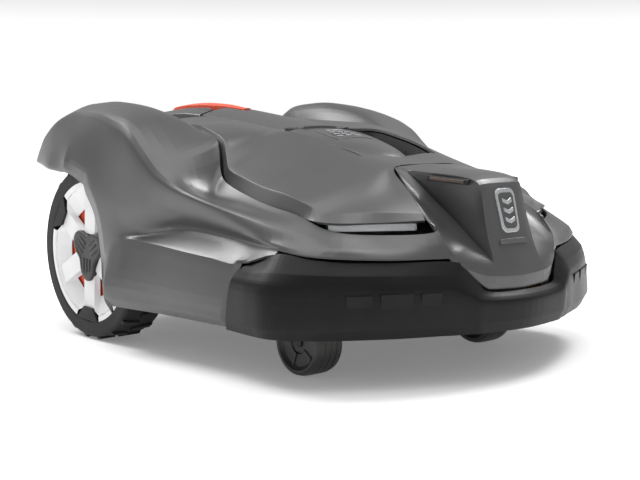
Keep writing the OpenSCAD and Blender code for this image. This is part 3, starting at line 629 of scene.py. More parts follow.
RIM = material(
    "rim_white", (0.72, 0.72, 0.73), 0.36, 0.1, mottle=0.03, grain=900, relief=0.12, dust=0.1
)
HUB = material("hub_plastic", (0.03, 0.03, 0.031), 0.5, mottle=0.15, grain=700, relief=0.35)
ORANGE = material(
    "orange_plastic", (0.78, 0.085, 0.03), 0.38, mottle=0.06, grain=800, relief=0.2, scuffs=0.05
)
SILVER = material(
    "badge_silver", (0.62, 0.63, 0.64), 0.3, 0.85, mottle=0.05, grain=240, relief=0.12,
    stretch=(12, 1, 1),
)
STEEL = material(
    "steel", (0.45, 0.455, 0.46), 0.32, 0.95, mottle=0.1, grain=160, relief=0.2, scuffs=0.1,
    stretch=(1, 1, 14),
)
BLADE = material(
    "blade_steel", (0.6, 0.6, 0.61), 0.24, 1.0, mottle=0.12, grain=140, relief=0.2, scuffs=0.3,
    stretch=(14, 2, 1),
)
COPPER = material(
    "copper_contact", (0.72, 0.45, 0.22), 0.3, 1.0, mottle=0.15, grain=220, relief=0.2,
    stretch=(10, 1, 1),
)
MOTOR = material(
    "motor_case", (0.06, 0.06, 0.065), 0.42, 0.6, mottle=0.12, grain=700, relief=0.3, scuffs=0.1
)
BATTERY = material(
    "battery_case", (0.03, 0.032, 0.036), 0.5, mottle=0.15, grain=600, relief=0.35, scuffs=0.15
)
PCB = material("pcb_green", (0.02, 0.13, 0.05), 0.35, mottle=0.5, cloud=260, grain=900, relief=0.3)
DISPLAY = material(
    "display_black", (0.01, 0.014, 0.017), 0.12, coat=0.6, mottle=0.3, cloud=60, grain=500,
    spread=0.03, relief=0.05,
)
KEY_GREEN = material("key_green", (0.05, 0.3, 0.1), 0.45, mottle=0.1, grain=700, relief=0.3)
KEY_GREY = material("key_grey", (0.28, 0.28, 0.29), 0.45, mottle=0.1, grain=700, relief=0.3)
LENS = clear_material("lens_clear", (0.92, 0.93, 0.95), 0.6)
SENSOR = material(
    "sensor_lens", (0.075, 0.05, 0.035), 0.2, coat=0.5, mottle=0.15, cloud=50, relief=0.1
)


# --------------------------------------------------------------------- cover
def shell_keep(line, s):
    """Whether the strip below a style line is skin at a station."""
    if line <= 3:
        return True
    if line == 4:
        return s > 5
    if line == 5:
        return 5 < s < 16 or s > 19
    if line == 6:
        return 5 < s < 15 or s > 20
    return 5 < s < 15


def build_shell():
    lines = [
        GAP_LINE, CREST_LINE, RIDGE_LINE, SIDE_LINE, LOWER_LINE,
        SHELF_INNER, SHELF_OUTER, BEVEL_LINE, HEM_LINE,
    ]
    splits = even(6, len(lines) - 1)
    splits[3] = [0, 0.2, 0.4, 0.55, 0.68, 0.78, 0.86, 0.93]
    # finer at the wheel arch, at the bumper's end and round the nose
    fine = (5.06, 5.15, 5.35, 5.56, 5.62, 5.68, 14.7, 14.78, 14.82, 14.88, 14.95)
    fine += (22.85, 23.05, 23.1, 23.2, 23.3, 23.4, 23.6, 23.85, 23.95, 24.05, 24.15)
    cuts = steps(SHELL_LAST, 4, fine)
    rows, marks = surface(lines, cuts, SHELL_SOFT, splits, SHELL_CORNERS, SHELL_CRISP)
    arch = [(on_line(LOWER_LINE, k / 8), 4.5 * min(max(k - 26, 0) / 10, 1)) for k in range(41)]
    lower = [k for k, (line, _) in enumerate(marks) if line >= 4]
    arch_column, front_column = cuts.index(5), cuts.index(15)
    arch += [(rows[k][arch_column], 4.5) for k in lower]
    lip(rows, arch, 18)
    lip(rows, [(rows[k][front_column], 5.5) for k in lower if marks[k][0] >= 6], 6.5)
    rows = full_width(rows)
    mirrored = cuts + cuts[-2::-1]

    def keep(i, j):
        return shell_keep(marks[i][0], (mirrored[j] + mirrored[j + 1]) / 2)

    def round_off(i, j, along):
        if along:
            return 1 if marks[i] in ((6, 0), (5, 0)) and mirrored[j] > 9 else 0
        return 1 if mirrored[j] in SHELL_CORNERS and i >= 6 else 0

    skin("body_shell_skin", rows, PAINT, "cover", "body_shell", keep=keep, round_off=round_off)


def build_bumper():
    lines = [BUMPER_TOP, BUMPER_BEVEL, BUMPER_FACE, BUMPER_LOW, BUMPER_HEM]
    soft = [[(0, 1)], [(0, 0.1)], [(0, 0.4)], [(0, 0.1)], [(0, 1)]]
    cuts = steps(BUMPER_LAST, 6)
    rows, marks = surface(lines, cuts, soft, even(5, 4), crisp={1: [(0, 0)], 3: [(0, 0)]}, passes=2)
    edges = round_rows(marks.index((1, 0)), marks.index((3, 0)))
    skin("bumper_skin", full_width(rows), RUBBER, "cover", "bumper", round_off=edges, wall=8)


def build_hood():
    lines = [HOOD_MIDDLE, HOOD_INNER, HOOD_DECK, HOOD_CREASE, HOOD_FOOT]
    soft = [[(0, 1)], [(0, 0.8)], [(0, 0.8)], [(0, 0)], [(0, 1)]]
    bands = 6
    cuts = steps(HOOD_LAST, 5)
    half, _ = surface(lines, cuts, soft, even(bands, 4), crisp={3: [(0, 0)]}, passes=2)
    rows = both_sides(half)
    middle = len(half) - 1
    creases = round_rows(middle - 3 * bands, middle + 3 * bands)

    def keep(i, j):
        return abs(i + 0.5 - middle) > bands or cuts[j] >= 8

    skin("hood_skin", rows, HOOD_PAINT, "cover", "hood", keep=keep, round_off=creases, radius=1.5)


# -------------------------------------------------------------------- wheels
# Built round the X axis with the outer face at x = 0 and the wheel towards -x, then put
# on the +X side and mirrored for the other. Angles turn from +Y towards +Z.
WHEEL_PLACE = Vector((251, 170, 114.5))
TYRE_WIDTH = 58
RIM_EDGE = 92
WEDGE_TURN = 33
LUGS = 22  # in each of the two rows of the tread
TYRE_WEDGE = [(RIM_EDGE + 2, -16.5), (74, -8.3), (74, 8.3), (RIM_EDGE + 2, 16.5)]  # radius, degrees


def polar(radius, degrees, depth):
    turn = math.radians(degrees)
    return Vector((-depth, radius * math.cos(turn), radius * math.sin(turn)))


def bar_point(spoke, along, side, depth):
    """Point on a spoke: along it from the hub, and to one side of its middle."""
    turn = math.radians(spoke)
    c, n = math.cos(turn), math.sin(turn)
    return Vector((-depth, along * c - side * n, along * n + side * c))


def spoke_outline(turn, near, far, half, depth, side=0):
    """Rectangle along a spoke from near to far, half wide to each side of its line."""
    corners = ((near, -half), (far, -half), (far, half), (near, half))
    return [bar_point(turn, along, side + t, depth) for along, t in corners]


def spun(bm, profile, count):
    """Surface of revolution round X; profile is a list of (radius, depth)."""
    bridged(bm, [[polar(r, 360 * k / count, x) for k in range(count)] for r, x in profile])


def both_wheels(name, make, material, node, smooth=True, slot=None):
    """Makes a piece for each rear wheel, one the mirror of the other."""
    for side, sign in SIDES:
        bm = bmesh.new()
        make(bm)
        for vert in bm.verts:
            vert.co += WHEEL_PLACE * MM
            vert.co.x *= sign
        if sign < 0:
            bmesh.ops.reverse_faces(bm, faces=bm.faces)
        obj = rounded(new_object(f"{name}_{side}", bm, material, smooth), 0.6, 28, False)
        finish(obj, f"wheel_{side}", slot or material.name, f"{node}_{side}")


def quad(bm, *points):
    bm.faces.new([bm.verts.new(p * MM) for p in points])


def make_rim(bm):
    """Six bars with sloping pockets between them; every other bar ends at a tyre wedge."""
    half, gate, ring = 12.5, 59, 84
    for k in range(6):
        spoke = WEDGE_TURN + 60 * k
        wedge = k % 2 == 0
        end = 74.5 if wedge else 78
        bite = 8.6 if wedge else 11.5
        edge = [(24, half, 2.5), (50, half, 2.5), (70, half, 3), (end, bite, 3.5)]
        plate = edge + [(along, -to_side, depth) for along, to_side, depth in reversed(edge)]
        quad(bm, *[bar_point(spoke, *corner) for corner in plate])
        outer = 17.5 if wedge else 9
        for side in (1, -1):
            gap = spoke + 30 * side
            corner = polar(ring, spoke + outer * side, 2.2)
            pocket = polar(ring, gap, 2.2)
            mouth = polar(gate, gap, 11)
            jamb = polar(gate, gap - 15.5 * side, 10.5)
            tip = polar(33, gap, 9)
            root, middle, shoulder, toe = [
                bar_point(spoke, along, to_side * side, depth) for along, to_side, depth in edge
            ]
            faces = [
                (corner, pocket, mouth, jamb),
                (shoulder, corner, jamb),
                (toe, corner, shoulder),
                (middle, shoulder, jamb),
                (root, middle, jamb, tip),
            ]
            if not wedge:
                faces.append((toe, bar_point(spoke, end, 0, 3.5), polar(ring, spoke, 1.5), corner))
            for face in faces:
                quad(bm, *(face if side > 0 else reversed(face)))
            steps_out = [(ring, 2.2), (86, 1), (RIM_EDGE, 0.6), (RIM_EDGE, TYRE_WIDTH - 3)]
            first = outer if wedge else 0
            turns = [spoke + side * t for t in spaced(first, 30, 6)]
            for (r0, x0), (r1, x1) in zip(steps_out, steps_out[1:]):
                for t0, t1 in zip(turns, turns[1:]):
                    arc = [polar(r0, t0, x0), polar(r1, t0, x1), polar(r1, t1, x1), polar(r0, t1, x0)]
                    quad(bm, *(arc if side > 0 else reversed(arc)))
    bmesh.ops.remove_doubles(bm, verts=bm.verts, dist=0.3 * MM)
    bmesh.ops.recalc_face_normals(bm, faces=bm.faces)


def make_tyre(bm):
    tread, lug = 111.2, 3.1
    profile = [
        (RIM_EDGE - 1, 12), (RIM_EDGE - 1, 0.8), (RIM_EDGE + 3, 0), (tread - 4, 0), (tread - 1.2, 1.2),
        (tread, 4), (tread, TYRE_WIDTH - 4), (tread - 1.2, TYRE_WIDTH - 1.2),
        (tread - 4, TYRE_WIDTH), (RIM_EDGE + 3, TYRE_WIDTH), (RIM_EDGE - 1, TYRE_WIDTH - 1),
        (RIM_EDGE - 1, 12),
    ]
    spun(bm, profile, 144)
    bmesh.ops.remove_doubles(bm, verts=bm.verts, dist=SAME_POINT)
    for k in range(3):
        turn = WEDGE_TURN + 120 * k
        front = [polar(r, turn + a, 0.2) for r, a in TYRE_WEDGE]
        block(bm, front, [p - Vector((11, 0, 0)) for p in front])
    lean = 3.2
    for k in range(LUGS):
        for row, (outer, inner, slope) in enumerate(((1.2, 30, 3), (TYRE_WIDTH - 1.2, 28, -3))):
            at = 360 / LUGS * (k + 0.5 * row)
            block(bm, *[
                [
                    polar(radius, at + first, side), polar(radius, at + last, side),
                    polar(radius, at + last + lean, inner), polar(radius, at + first + lean, inner),
                ]
                for radius, first, last, side in (
                    (tread + lug, -2.9, 0.7, outer + slope), (tread - 1.5, -3.4, 1.2, outer),
                )
            ])
    bmesh.ops.recalc_face_normals(bm, faces=bm.faces)


def make_hub_cap(bm):
    """Three-lobed cap with raised ribs."""
    def edge(scale, depth):
        outline = []
        for turn in range(0, 360, 4):
            radius = scale * (30 + 8 * math.cos(math.radians(3 * turn)))
            outline.append(polar(radius, WEDGE_TURN + turn, depth))
        return outline

    steps_in = ((1, 5), (1, -0.5), (0.95, -2), (0.8, -2.6), (0.72, -1.6), (0.1, -1.6))
    rings = bridged(bm, [edge(scale, depth) for scale, depth in steps_in])
    bm.faces.new(rings[-1])
    for lobe in range(3):
        turn = WEDGE_TURN + 120 * lobe
        for side in (-7, 0, 7):
            front = spoke_outline(turn, 8, 26, 1.3, -2.8, side)
            block(bm, front, spoke_outline(turn, 7, 27, 1.8, -0.5, side))
    bmesh.ops.recalc_face_normals(bm, faces=bm.faces)


def make_insert(bm):
    spun(bm, [(20, 13.5), (72, 13.5), (72, 15.5), (20, 15.5), (20, 13.5)], 48)
    bmesh.ops.remove_doubles(bm, verts=bm.verts, dist=SAME_POINT)


def build_wheels():
    both_wheels("tyre_rubber", make_tyre, TYRE, "tyre", smooth=False)
    both_wheels("rim_face", make_rim, RIM, "rim", smooth=False)
    both_wheels("hub_cap_lobed", make_hub_cap, HUB, "hub_cap", slot="black_plastic")
    both_wheels("rim_glow", make_insert, ORANGE, "rim_insert")


# --------------------------------------------------------- spine and hatch
def strip_rows(edge, middle, parts, cuts, drop=0.0):
    """Crowned rows between an edge line and the middle line; shares over 1 hang down by drop."""
    rows = []
    for part in parts:
        row = []
        for s in cuts:
            e, m = on_line(edge, s), on_line(middle, s)
            k = min(abs(part), 1)
            z = e.z + (m.z - e.z) * (1 - k * k) - (drop if abs(part) > 1 else 0)
            row.append(Vector((e.x * part, e.y + (m.y - e.y) * (1 - k * k), z)))
        rows.append(row)
    return rows


def spaced(start, stop, count):
    return [start + (stop - start) * k / count for k in range(count + 1)]


def zigzag(part):
    """Step of the seam between the hatch and the front of the spine."""
    return -max(0.0, min(1.0, (0.78 - abs(part)) / 0.24))


def bar(bm, outline, middle, start, stop):
    """Block along X between start and stop; its outline is (y, z) from a point."""
    block(bm, *[[middle + Vector((x, y, z)) for y, z in outline] for x in (start, stop)])


HINGE = Vector((0, 4.2, 273.5))  # axis of the display hatch
# Edge and middle lines of the ridge along the cover: stations count from front to rear.
SPINE_EDGE = [
    (-6, 29, -142, 235.5), (-5, 35, -127, 241), (-4, 41, -104, 249.5), (-3, 48, -77, 256.5),
    (-1.5, 54.5, -38, 265.5), (0, 56.5, 1, 271.8),
]
SPINE_MIDDLE = [
    (-6, 0, -149, 239), (-5, 0, -135, 247), (-4, 0, -108, 256.5), (-3, 0, -77, 262.5),
    (-1.5, 0, -38, 270.5), (0, 0, 1, 276.3),
]
HATCH_EDGE = [
    (0, 55, 4.8, 272.8), (1, 55, 50, 278), (2, 55, 96, 283.4), (3, 55, 150, 288.8),
    (4, 55, 184, 291.6),
]
HATCH_MIDDLE = [
    (0, 0, 4.8, 277.5), (1, 0, 50, 284.2), (2, 0, 96, 291.3), (3, 0, 150, 298.8),
    (4, 0, 184, 302.6),
]
TAIL_EDGE = [
    (0, 57, 187, 292), (1, 59, 230, 294), (2, 60, 280, 291), (3, 60, 310, 286),
    (4, 57, 336, 276), (4.6, 52, 347, 264), (5, 50, 349, 258),
]
TAIL_MIDDLE = [
    (0, 0, 187, 303), (1, 0, 230, 305), (2, 0, 280, 302), (3, 0, 310, 298),
    (4, 0, 337, 289), (4.6, 0, 349, 276), (5, 0, 351, 262),
]
CROWN = spaced(1, -1, 20)


def build_spine():
    parts = [1.02] + CROWN + [-1.02]
    cuts = spaced(-6, 0, 24)
    rows = strip_rows(SPINE_EDGE, SPINE_MIDDLE, parts, cuts, drop=11)
    for row, part in zip(rows, parts):
        row[-1] = row[-1] + Vector((0, 4.5 * zigzag(part), 0.4 * zigzag(part)))

    edges = round_rows(1, len(parts) - 2)
    skin("spine_front_skin", rows, HOOD_PAINT, "cover", round_off=edges, wall=2.5, radius=1.6)
    lugs = bmesh.new()
    lug = [(-5.6, -3.8), (0, -3.8), (2.4, -2.8), (3.2, -0.6), (2.4, 1.6), (0, 2.6), (-5.6, 2.4)]
    for sign in (1, -1):
        bar(lugs, lug, HINGE, sign * 50.6, sign * 53.9)
    piece("hatch_lugs", lugs, HOOD_PAINT, 0.5, "cover", "spine_front")

    cuts = spaced(0, 5, 30)
    rows = strip_rows(TAIL_EDGE, TAIL_MIDDLE, parts, cuts, drop=14)

    def beside_well(i, j):
        return not (5 <= i <= 16 and cuts[j] < 2.95)

    skin(
        "spine_rear_skin", rows, HOOD_PAINT, "cover", "spine_rear",
        keep=beside_well, round_off=edges, wall=2.5, radius=1.6,
    )


def build_hatch():
    cuts = spaced(0, 4, 32)
    rows = strip_rows(HATCH_EDGE, HATCH_MIDDLE, CROWN, cuts)
    for row, part in zip(rows, CROWN):
        row[0] = row[0] + Vector((0, 4.5 * zigzag(part), 0.5 * zigzag(part)))

    def keep(i, j):
        return not (8 <= i <= 11 and cuts[j] >= 3)

    def round_off(i, j, along):
        return 1 if (along and i in (0, len(CROWN) - 1)) or (not along and j == 0) else 0

    skin(
        "display_hatch_skin", rows, HOOD_PAINT, "hatch", keep=keep, round_off=round_off, radius=1.4
    )
    barrel = bmesh.new()
    turns = [math.radians(15 * k) for k in range(24)]
    bar(barrel, [(3 * math.cos(turn), 3 * math.sin(turn)) for turn in turns], HINGE, -49.8, 49.8)
    for x in (-30, 0, 30):
        bar(barrel, [(1.5, -1.4), (9, -0.6), (9.5, 2.4), (3, 3.4)], HINGE, x - 2, x + 2)
    piece("hatch_barrel", barrel, BLACK, 0.4, "hatch", "display_hatch")


def on_spine(part, station, lift):
    """Point on the front of the spine, lifted off it."""
    e, m = on_line(SPINE_EDGE, station), on_line(SPINE_MIDDLE, station)
    return Vector((e.x * part, e.y, e.z + (m.z - e.z) * (1 - part * part) + lift))


def spine_block(bm, outline, high, low):
    """Block on the front of the spine over an outline of (part, station)."""
    block(bm, *[[on_spine(p, s, lift) for p, s in outline] for lift in (high, low)])


def build_plate():
    """Plain raised plate with bars, in the place of a name."""
    cells, first, last = 8, -2.75, -1.05
    bm = bmesh.new()
    edge = [(-0.62, first), (0.62, first), (0.5, last), (-0.5, last)]
    outline = []
    for (p0, s0), (p1, s1) in zip(edge, edge[1:] + edge[:1]):
        outline += [(p0 + (p1 - p0) * k / cells, s0 + (s1 - s0) * k / cells) for k in range(cells)]
    spine_block(bm, outline, 0.9, -0.8)
    piece("name_plate_blank", bm, HOOD_PAINT, 0.5, "cover")
    bm = bmesh.new()
    for k in range(4):
        station = first + 0.3 + k * 0.36
        reach = 0.42 - 0.05 * k
        for start in spaced(-reach, reach * 0.4, 2):
            stop = start + reach * 0.5
            end = station + 0.16
            corners = [(start, station), (stop, station), (stop, end), (start, end)]
            spine_block(bm, corners, 1.5, 0.2)
    piece("name_plate_bars", bm, KEY_GREY, 0.25, "cover")


def build_stop():
    edge = [
        (0, 5, 152.4, 300), (1, 15, 200, 305), (2, 23, 250, 306), (3, 27.5, 288, 302.5),
        (3.4, 27, 296, 299),
    ]
    middle = [
        (0, 0, 151.8, 301), (1, 0, 200, 307), (2, 0, 250, 309), (3, 0, 289, 305.5),
        (3.4, 0, 298, 301),
    ]
    parts = [1.01] + spaced(1, -1, 12) + [-1.01]
    rows = strip_rows(edge, middle, parts, spaced(0, 3.4, 24), drop=8)
    edges = round_rows(1, len(parts) - 2)
    skin("stop_button_skin", rows, ORANGE, "stop", round_off=edges, radius=2.2)
    bm = bmesh.new()
    for k in range(5):
        y = 236 + 9 * k
        half = 13 + 1.5 * k
        top = 309.6 - 0.012 * (y - 250) ** 2 / 2
        corners = [(-half, y), (half, y), (half - 1.2, y + 3.4), (-half + 1.2, y + 3.4)]
        crown = 0.0052
        block(bm, *[
            [Vector((x, v, top - sunk - x * x * crown)) for x, v in corners] for sunk in (0.8, 4)
        ])
    piece("stop_button_ribs", bm, ORANGE, 0.5, "stop", "stop_button")


def build_well():
    """Dark well round the stop button, with a thin light rim."""
    refined("stop_recess", BLACK, 1.0)
    bm = bmesh.new()
    half = [
        (-35.5, 190, 301.2), (-36, 200, 301.8), (-36, 236, 301.6), (-36, 272, 299.3),
        (-36, 308, 295.4),
    ]
    path = [Vector(p) for p in half] + [flip(p) for p in reversed(half)]
    for a, b in zip(path, path[1:]):
        side = (b - a).cross(Vector((0, 0, 1))).normalized() * 0.5
        top = [a + side, b + side, b - side, a - side]
        block(bm, top, [p - Vector((0, 0, 3)) for p in top])
    piece("stop_well_rim", bm, KEY_GREY, 0.2, "cover")


def build_channel():
    edge_cuts = spaced(3.75, 7.6, 20)
    edge = [on_line(HOOD_INNER, s) - Vector((4, 0, 5)) for s in edge_cuts]
    foot = [p - Vector((6, 0, 20 - 4 * max(0, -p.y - 90) / 60)) for p in edge]
    floor = [[Vector((p.x * k, p.y, p.z)) for p in foot] for k in (0.66, 0.33, 0)]
    half = floor[::-1] + [foot, edge]
    skin("channel_trim_skin", both_sides(half), TRIM, "cover", "channel_trim", wall=2, radius=1)


DECK_LINE = [
    (0, 149, 174, 264), (1, 152, 230, 261), (2, 158, 285, 250), (3, 163, 328, 234),
    (4, 168, 349, 205), (5, 167, 352, 150), (6, 164, 350, 128),
]


def build_deck():
    cuts = spaced(0, 6, 36)
    line = [on_line(DECK_LINE, s) for s in cuts]
    rows = []
    for k in spaced(1, -1, 24):
        bulge = 1 - k * k
        rows.append([
            Vector((k * p.x, p.y + 2.5 * bulge * (s > 3), p.z)) for p, s in zip(line, cuts)
        ])
    skin("rear_deck_skin", rows, BLACK, "cover", "rear_deck", radius=1.2)
    bm = bmesh.new()
    for k in range(6):
        z = 150 + 11 * k
        y = on_line(DECK_LINE, 5 - (z - 150) / 55).y
        for sign in (-1, 1):
            a, b = 18, 96 - 4 * k
            tops = [Vector((sign * x, y + 3.4 - 2.5 * (x / 167) ** 2, z)) for x in (a, b)]
            ends = [tops[0], tops[1], tops[1] + Vector((0, 0, 5)), tops[0] + Vector((0, 0, 5))]
            block(bm, ends, [p - Vector((0, 3.5, 0)) for p in ends])
    piece("rear_deck_ribs", bm, TRIM, 0.9, "cover")


# ---------------------------------------------------------------------- nose
def nose_front(x, z, out):
    """Point on the flat front of the nose, out from its skin."""
    return Vector((x, -312 - 0.275 * (223 - z) + 3 * (x / 36) ** 2 - out, z))


def round_outline(half_low, half_high, low, high, radius, turns=5):
    """Outline with round corners, wider at one end than the other, as (x, z)."""
    corners = [(half_low, low), (half_high, high), (-half_high, high), (-half_low, low)]
    spots = []
    for k, (x, z) in enumerate(corners):
        sx, sz = (1 if x > 0 else -1), (1 if z == high else -1)
        start = (-90, 0, 90, 180)[k]
        for t in range(turns + 1):
            turn = math.radians(start + 90 * t / turns)
            spots.append((
                x + radius * (math.cos(turn) - sx), z + radius * (math.sin(turn) - sz)
            ))
    return spots


def nose_plates(name, outlines, low, high, material, width, *nodes):
    """Flat blocks on the front of the nose; low and high are measured out from its skin."""
    bm = bmesh.new()
    for outline in outlines:
        front = [nose_front(x, z, high) for x, z in outline]
        block(bm, front, [nose_front(x, z, low) for x, z in outline])
    piece(name, bm, material, width, "cover", *nodes)


def build_nose():
    plate = round_outline(15, 16.5, 162, 211, 8)
    nose_plates("nose_badge_plate", [plate], -0.8, 1.9, SILVER, 0.7, "nose_badge")
    field = round_outline(11, 12.5, 166.5, 206.5, 5.5)
    nose_plates("nose_badge_field", [field], 0.8, 2.2, PAINT, 0.2)
    chevrons = [
        [(-8, low), (0, low - 3), (8, low), (8, low + 4.5), (0, low + 1.5), (-8, low + 4.5)]
        for low in (175, 185.5, 196)
    ]
    nose_plates("nose_badge_bars", chevrons, 1.4, 3.0, SILVER, 0.4)
    bm = bmesh.new()
    ledge = [(-24, 150, 4.5), (24, 150, 4.5), (21, 155.5, 2), (-21, 155.5, 2)]
    block(bm, [nose_front(*p) for p in ledge], [nose_front(x, z, -2) for x, z, _ in ledge])
    piece("nose_ledge", bm, PAINT, 0.8, "cover")


def sensor_bar(bm, start, stop, inner, outer, low, high):
    """Bar between two points on the nose's top edge, from inner to outer and low to high."""
    along = (stop - start).normalized()
    side = along.cross(Vector((0, 0, 1))).normalized()
    if side.x < 0:
        side = -side
    up = side.cross(along)
    if up.z < 0:
        up = -up
    section = ((inner, low), (outer, low + 0.5), (outer - 0.8, high - 0.8), (inner, high))
    block(bm, *[[end + side * out + up * rise for out, rise in section] for end in (start, stop)])


SENSOR_START = Vector((53.5, -250, 223))
SENSOR_STOP = Vector((41, -300, 219.5))


def build_sensors():
    mirrored_pair(
        "sonar_housing", lambda bm: sensor_bar(bm, SENSOR_START, SENSOR_STOP, -3, 4.2, -4.5, 2.5),
        TRIM, 0.8, "sonar",
    )
    inset = (SENSOR_STOP - SENSOR_START).normalized() * 4
    mirrored_pair(
        "sonar_window",
        lambda bm: sensor_bar(bm, SENSOR_START + inset, SENSOR_STOP - inset, 3, 4.9, -3, 1.2),
        SENSOR, 0.5,
    )


# ---------------------------------------------------------------- headlights
LAMP_PLACE = Vector((145, -247, 165))
LAMP_TURN = math.radians(31)


def lamp_point(along, out, up):
    """Point in the slot of the +X headlight: along it, outwards and upwards."""
    c, n = math.cos(LAMP_TURN), math.sin(LAMP_TURN)
    return LAMP_PLACE + Vector((along * c + out * n, along * n - out * c, up))


def make_lens(bm):
    """Clear cover with a sloping face and rounded ends."""
    profile = [(0.4, 1.2), (3.2, 1.5), (3.4, 4.5), (2.4, 9.2), (0.4, 10)]
    middle = 5.4
    outlines = []
    for along, shrink in ((-54.5, 0.55), (-53, 0.85), (-50, 1), (41, 1), (44, 0.85), (45.5, 0.55)):
        flatter = 0.75 + 0.25 * shrink
        outlines.append([
            lamp_point(along, out * shrink, middle + (up - middle) * flatter) for out, up in profile
        ])
    rings = bridged(bm, outlines)
    bm.faces.new(rings[0])
    bm.faces.new(list(reversed(rings[-1])))


def make_reflector(bm):
    """Row of stepped mirrors behind the lens, with thin walls between them."""
    def sheet(start, stop, foot, head):
        corners = ((start, foot, 2.2), (stop, foot, 2.2), (stop, head, 8.6), (start, head, 8.6))
        return [lamp_point(*corner) for corner in corners]

    for k in range(8):
        start, stop = 12 * k - 53, 12 * k - 42
        block(bm, sheet(start, stop, -1.2, -7), sheet(start, stop, -2.4, -8.2))
        block(bm, sheet(stop, stop + 1, -0.4, -0.9), sheet(stop, stop + 1, -8, -8))


def build_headlights():
    mirrored_pair("headlight_lens", make_lens, LENS, 0.3, "lens")
    mirrored_pair("headlight_mirrors", make_reflector, SILVER, 0.15)
    for side in ("left", "right"):
        refined(f"headlight_{side}", TRIM, 0.6)


# ------------------------------------------------------------ bumper reliefs
def on_bumper(station, z, out):
    """Point on the front of the bumper at a height, out from its skin."""
    high, low = on_line(BUMPER_FACE, station), on_line(BUMPER_LOW, station)
    ahead, behind = on_line(BUMPER_FACE, station + 0.05), on_line(BUMPER_FACE, station - 0.05)
    out_way = (ahead - behind).cross(Vector((0, 0, 1))).normalized()
    if out_way.y > 0:
        out_way = -out_way
    share = (high.z - z) / (high.z - low.z)
    return high.lerp(low, share) + out_way * out


def make_reliefs(bm):
    """Shallow louvres pressed in the rubber: (first station, last, top, bottom)."""
    for first, last, top, bottom in (
        (4.12, 4.58, 104, 88), (4.72, 5.34, 105, 84), (5.5, 5.98, 104.5, 87),
    ):
        stations = spaced(first, last, 5)
        sides = []
        for out_top, out_bottom in ((2.4, 0.1), (-2, -2)):
            outline = [on_bumper(s, top, out_top) for s in stations]
            sides.append(outline + [on_bumper(s, bottom, out_bottom) for s in reversed(stations)])
        block(bm, *sides)


# ------------------------------------------------------------------- casters
CASTER_PLACE = Vector((-26.5, -181, 38))  # middle of a roller beside its swivel's plane
CASTER_APART = 148  # from the middle of the mower to each swivel


def build_casters():
    half = [
        (5.1, 14), (12, 14), (13, 15.6), (26.5, 15.6), (29, 17.4), (31, 19.6), (33.6, 19.9),
        (36.4, 18), (37.7, 13.4), (38, 9.2), (37.2, 8.9), (37.2, 8.1), (38, 7.8), (38, 0.5),
        (37.2, 0.4),
    ]
    profile = [(r, -x) for r, x in half] + half[::-1] + [(5.1, -14)]
    for side, sign in SIDES:
        bm = bmesh.new()
        spun(bm, profile, 72)
        for k in range(5):
            for face in (1, -1):
                ribs = [spoke_outline(72 * k, 12, 27, 1.6, depth * face) for depth in (15, 17.2)]
                block(bm, *ribs)
        bmesh.ops.remove_doubles(bm, verts=bm.verts, dist=SAME_POINT)
        for vert in bm.verts:
            vert.co += (CASTER_PLACE + Vector((CASTER_APART * sign, 0, 0))) * MM
        roller = f"caster_roller_{side}"
        piece(roller, bm, CASTER, 0.25, roller, f"caster_wheel_{side}")
        refined(f"caster_fork_{side}", BLACK, 1.0)


# ---------------------------------------------------------- mechanical parts
def build_mechanics():
    """Edges rounded and finishes given to the parts whose shape is the CAD's."""
    for node in ("chassis_base", "chassis_top", "carry_handle"):
        refined(node, BLACK, 1.0)
    refined("cover_mounts", CASTER, 0.6, "bumper_rubber")
    for nodes, material, width in (
        ("keypad_panel", TRIM, 0.8),
        ("display_glass", DISPLAY, 0.4),
        ("battery_pack", BATTERY, 1.2),
        ("main_board", PCB, 0.4),
        ("gearmotor_left gearmotor_right height_motor cutter_motor", MOTOR, 0.9),
        ("guide_rods chassis_screws height_screw blade_screws hatch_pin", STEEL, 0.3),
        ("axle_left axle_right", STEEL, 0.3),
        ("charge_contacts", COPPER, 0.4),
        ("blade_disc skid_plate", BLACK, 0.6),
        ("blade_1 blade_2 blade_3", BLADE, 0.15),
        ("power_key", ORANGE, 0.9),
        ("start_key", KEY_GREEN, 0.9),
        ("menu_key", KEY_GREY, 0.9),
    ):
        for node in nodes.split():
            refined(node, material, width)


# --------------------------------------------------------- stage and camera
def sky(world):
    """Studio light: white up to the horizon, dimmer above it and brighter again overhead."""
    world.use_nodes = True
    tree = world.node_tree
    nodes, links = tree.nodes, tree.links
    way = nodes.new("ShaderNodeTexCoord")
    split = nodes.new("ShaderNodeSeparateXYZ")
    height = nodes.new("ShaderNodeMapRange")
    ramp = nodes.new("ShaderNodeValToRGB")
    height.inputs["From Min"].default_value = -1
    links.new(way.outputs["Generated"], split.inputs["Vector"])
    links.new(split.outputs["Z"], height.inputs["Value"])
    links.new(height.outputs["Result"], ramp.inputs["Fac"])
    links.new(ramp.outputs["Color"], nodes["Background"].inputs["Color"])
    stops = ((0, 0.9), (0.49, 1), (0.535, 1), (0.57, 0.35), (0.72, 0.5), (0.86, 0.45), (1, 0.7))
    for place, grey in stops[1:-1]:
        ramp.color_ramp.elements.new(place)
    for stop, (place, grey) in zip(ramp.color_ramp.elements, stops):
        stop.position = place
        stop.color = (grey, grey, grey, 1)
    nodes["Background"].inputs["Strength"].default_value = 1


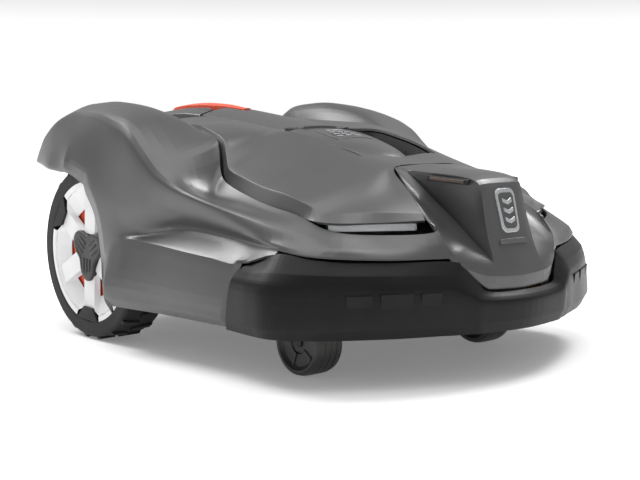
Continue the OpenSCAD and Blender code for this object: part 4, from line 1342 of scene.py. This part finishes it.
def floor_material():
    """Pale matt floor with painted light: a glow that grows away from the mower, so it fades to plain
    white there and stays dimmer near it.
    """
    mat = material(
        "floor_white", (0.9, 0.9, 0.9), 0.75, mottle=0.006, cloud=2, grain=60, relief=0.02
    )
    tree = mat.node_tree
    shader = tree.nodes["Principled BSDF"]
    place = tree.nodes.new("ShaderNodeTexCoord")
    reach = tree.nodes.new("ShaderNodeVectorMath")
    reach.operation = "LENGTH"
    tree.links.new(place.outputs["Object"], reach.inputs[0])
    # painted light: the floor's emission rises from 0.18 near the mower to 0.6 away from it
    glow = band(tree, reach.outputs["Value"], 0.35, 1.3, 0.18, 0.6)
    shader.inputs["Emission Color"].default_value = (1, 1, 1, 1)
    tree.links.new(glow, shader.inputs["Emission Strength"])
    return mat


def build_stage():
    bpy.ops.mesh.primitive_plane_add(size=30)
    floor = bpy.context.object
    floor.name = "floor"
    floor.data.materials.append(floor_material())
    world = bpy.data.worlds.new("studio")
    bpy.context.scene.world = world
    sky(world)
    for name, place, size, power in (
        ("back_light", (-0.7, 1.7, 2.05), 1.1, 38),
        ("right_light", (1.6, -0.2, 2.3), 0.8, 40),
        ("top_light", (-0.5, -0.2, 3.0), 2.4, 30),
    ):
        light = bpy.data.lights.new(name, "AREA")
        light.energy = power
        light.size = size
        lamp = bpy.data.objects.new(name, light)
        lamp.location = place
        aim = Vector((0, 0, 0.15)) - lamp.location
        lamp.rotation_euler = aim.to_track_quat("-Z", "Y").to_euler()
        bpy.context.scene.collection.objects.link(lamp)


def build_camera():
    camera = bpy.data.cameras.new("camera")
    camera.sensor_width = 36
    camera.lens = 68.33
    eye = bpy.data.objects.new("camera", camera)
    eye.location = Vector((-1066.4, -1207.0, 300.5)) * MM
    azimuth, down = math.radians(-41.53), math.radians(6.17)
    eye.rotation_euler = (math.pi / 2 - down, 0, azimuth)
    bpy.context.scene.collection.objects.link(eye)
    bpy.context.scene.camera = eye


bpy.context.scene.view_settings.view_transform = "Standard"
build_camera()
build_stage()
build_shell()
build_bumper()
build_hood()
build_wheels()
build_spine()
build_hatch()
build_plate()
build_stop()
build_well()
build_channel()
build_deck()
build_nose()
build_sensors()
build_headlights()
mirrored_pair("bumper_relief", make_reliefs, RUBBER, 0.5)
build_casters()
build_mechanics()
